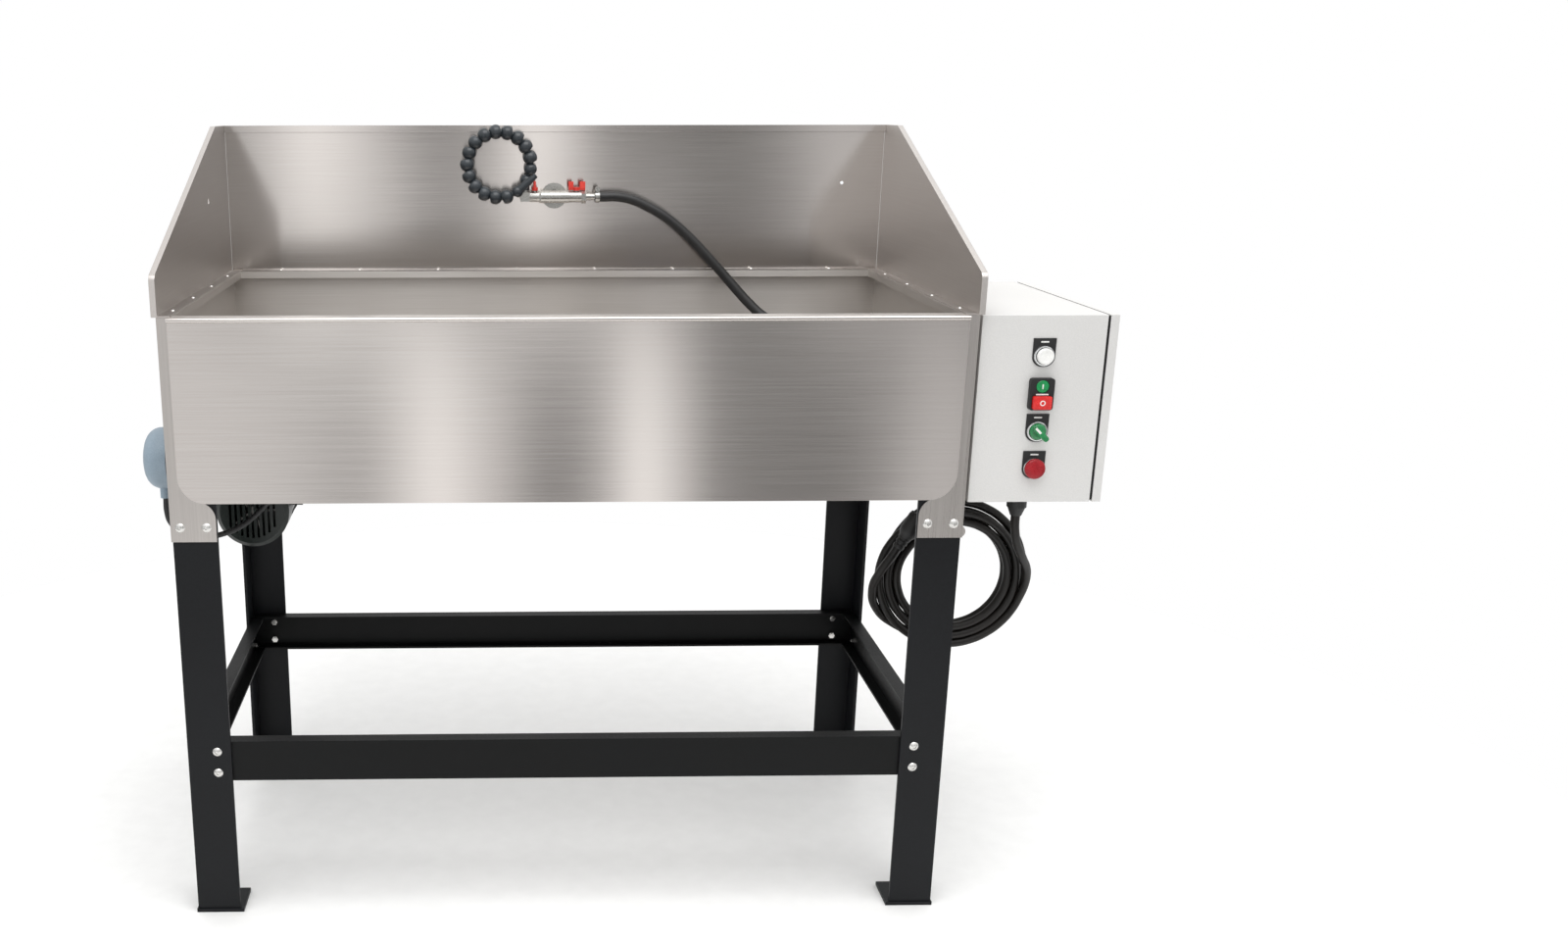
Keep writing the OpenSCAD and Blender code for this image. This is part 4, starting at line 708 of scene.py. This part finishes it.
# ------------------------------------------------------------------ control cables
# Two thin sheathed cables that run below the basin from the cabinet to the
# heater and to the pump motor, clipped along the front rail.
heater_cable_mm = [
    (-628, -200, 673), (-628, -200, 650), (-624, -198, 632), (-612, -193, 617), (-594, -186, 606),
    (-570, -176, 601), (-545, -164, 603), (-520, -152, 612), (-498, -143, 628), (-478, -138, 648),
    (-455, -136, 668), (-430, -136, 682), (-400, -136, 689), (-360, -136, 691), (-240, -136, 691),
    (-100, -136, 691), (60, -136, 691), (220, -136, 691), (380, -136, 690), (440, -136, 686),
    (480, -136, 678), (520, -136, 664), (556, -136, 652), (590, -134, 648), (622, -122, 651),
    (646, -104, 659), (655, -92, 672), (656, -90, 683)]
pump_cable_mm = [
    (-436, -30, 640), (-424, -30, 640), (-408, -34, 650), (-390, -48, 672), (-368, -72, 686),
    (-344, -96, 691), (-310, -112, 691.5), (-240, -118, 691.5), (-100, -118, 691.5), (60, -118, 691.5),
    (220, -118, 691.5), (380, -118, 690.5), (440, -118, 686), (480, -116, 677), (520, -112, 664),
    (556, -104, 654), (590, -90, 650), (622, -72, 654), (646, -56, 662), (655, -51, 673), (656, -50, 683)]
thin_sheath = new_finish("black_pvc_sheath", ("#141415", "#202022"), (0.34, 0.48), 2.0, 0.015, cloud_mm=50)
heater_cable = cord_along("heater_cable_run", heater_cable_mm, 0.009, thin_sheath)
pump_cable = cord_along("pump_cable_run", pump_cable_mm, 0.009, thin_sheath)
for piece in (heater_cable, pump_cable):
    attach(piece, "tank")
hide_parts("control_cables")

# ------------------------------------------------------------------ studio
# A plain pale floor in a plain pale room, lit softly from above. The walls that
# the steel mirrors carry tall bright and dim fields, as a workshop's windows do;
# seen directly, the room is plain.
floor_paint = new_finish("pale_studio_floor", ("#f3f3f2", "#f8f8f7"), (0.6, 0.7), 40, 0.02, cloud_mm=2000)
bpy.ops.mesh.primitive_circle_add(vertices=96, radius=1.9, fill_type="NGON", location=(0, 0, -0.0005))
floor = bpy.context.object
floor.name = "studio_floor"
floor.data.materials.append(floor_paint)

# Brightness of the walls by the angle in degrees from straight behind the
# camera, positive to the right.
wall_fields = [
    (-180, 0.85), (-150, 1.0), (-125, 0.5), (-95, 1.25), (-70, 0.45), (-48, 1.0), (-30, 0.6), (-12, 1.05),
    (-9.0, 0.95), (-7.8, 0.66), (-5.8, 0.62), (-4.4, 1.15), (-2.4, 1.75), (-1.0, 1.1), (0.3, 0.8), (1.4,
        0.36), (2.8, 0.34),
    (3.9, 0.6), (5.0, 1.5), (6.0, 2.0), (7.0, 1.2), (8.3, 0.42), (10, 0.34), (13.5, 0.28), (16.0, 0.5),
        (17.7, 1.15), (19.5, 0.4), (38, 0.95),
    (60, 0.5), (95, 1.2), (130, 0.6), (180, 0.85)]
upper_turn_deg = 4.6
window_count = 26
window_contrast = 0.45
ceiling_light = (0.6, 0.6, 0.6, 1)
sky = bpy.data.worlds.new("studio_air")
sky.use_nodes = True
bpy.context.scene.world = sky
air = sky.node_tree.nodes["Background"]
way = add_node(sky, "ShaderNodeTexCoord")
parts = add_node(sky, "ShaderNodeSeparateXYZ", {"Vector": way.outputs["Generated"]})
behind = add_node(sky, "ShaderNodeMath", {0: parts.outputs["Y"], 1: -1.0}, operation="MULTIPLY")
angle = add_node(sky, "ShaderNodeMath", {0: parts.outputs["X"], 1: behind.outputs[0]}, operation="ARCTAN2")
upper = add_node(sky, "ShaderNodeMapRange", {
    "Value": parts.outputs["Z"], "From Min": -0.16, "From Max": -0.1, "To Max": math.radians(upper_turn_deg)},
    interpolation_type="SMOOTHSTEP")
turn = add_node(sky, "ShaderNodeMath", {0: angle.outputs[0], 1: upper.outputs[0]}, operation="ADD")
share = add_node(sky, "ShaderNodeMapRange", {"Value": turn.outputs[0], "From Min": -math.pi,
    "From Max": math.pi})
walls = add_node(sky, "ShaderNodeValToRGB", {"Fac": share.outputs[0]})
stops = walls.color_ramp.elements
stops.remove(stops[1])
stops[0].position = 0.0
for i, (degrees, strength) in enumerate(wall_fields):
    stop = stops[0] if i == 0 else stops.new(degrees / 360 + 0.5)
    stop.color = (strength / 2, strength / 2, strength / 2, 1)
walls.color_ramp.interpolation = "EASE"
above = add_node(sky, "ShaderNodeMapRange", {
    "Value": parts.outputs["Z"], "From Min": 0.15, "From Max": 0.75, "To Min": 0.0, "To Max": 1.0},
        interpolation_type="SMOOTHSTEP")
windows = add_node(sky, "ShaderNodeMath", {0: turn.outputs[0], 1: float(window_count)}, operation="MULTIPLY")
window_wave = add_node(sky, "ShaderNodeMath", {0: windows.outputs[0]}, operation="SINE")
from_behind = add_node(sky, "ShaderNodeMath", {0: turn.outputs[0]}, operation="ABSOLUTE")
window_share = add_node(sky, "ShaderNodeMapRange", {
    "Value": from_behind.outputs[0], "From Min": 0.4, "From Max": 0.7, "To Min": 0.0,
        "To Max": window_contrast})
window_swing = add_node(sky, "ShaderNodeMath", {0: window_wave.outputs[0], 1: window_share.outputs[0],
    2: 1.0}, operation="MULTIPLY_ADD")
lit_walls = add_node(sky, "ShaderNodeVectorMath", {0: walls.outputs[0], "Scale": window_swing.outputs[0]},
    operation="SCALE")
ceiling = add_node(sky, "ShaderNodeMix", {0: above.outputs[0], 6: lit_walls.outputs[0], 7: ceiling_light},
    data_type="RGBA")
room = add_node(sky, "ShaderNodeBackground", {"Color": ceiling.outputs[2], "Strength": 2.0})
air.inputs["Color"].default_value = linear("#ffffff")
air.inputs["Strength"].default_value = 1.0
seen = add_node(sky, "ShaderNodeLightPath")
both_ways = add_node(sky, "ShaderNodeMixShader", {0: seen.outputs["Is Camera Ray"], 1: room.outputs[0],
    2: air.outputs[0]})
sky.node_tree.links.new(both_ways.outputs[0], sky.node_tree.nodes["World Output"].inputs["Surface"])
bpy.context.scene.view_settings.view_transform = "Standard"


def soft_box(name, place, aim, width, height, power):
    """A rectangular soft light at a place, turned towards a point."""
    bpy.ops.object.light_add(type="AREA", location=place)
    box = bpy.context.object
    box.name = name
    box.data.shape = "RECTANGLE"
    box.data.size = width
    box.data.size_y = height
    box.data.energy = power
    box.rotation_euler = (Vector(aim) - Vector(place)).to_track_quat("-Z", "Y").to_euler()


soft_box("overhead_box", (0.2, -1.0, 3.2), (0.1, 0, 0.6), 2.6, 2.0, 48)
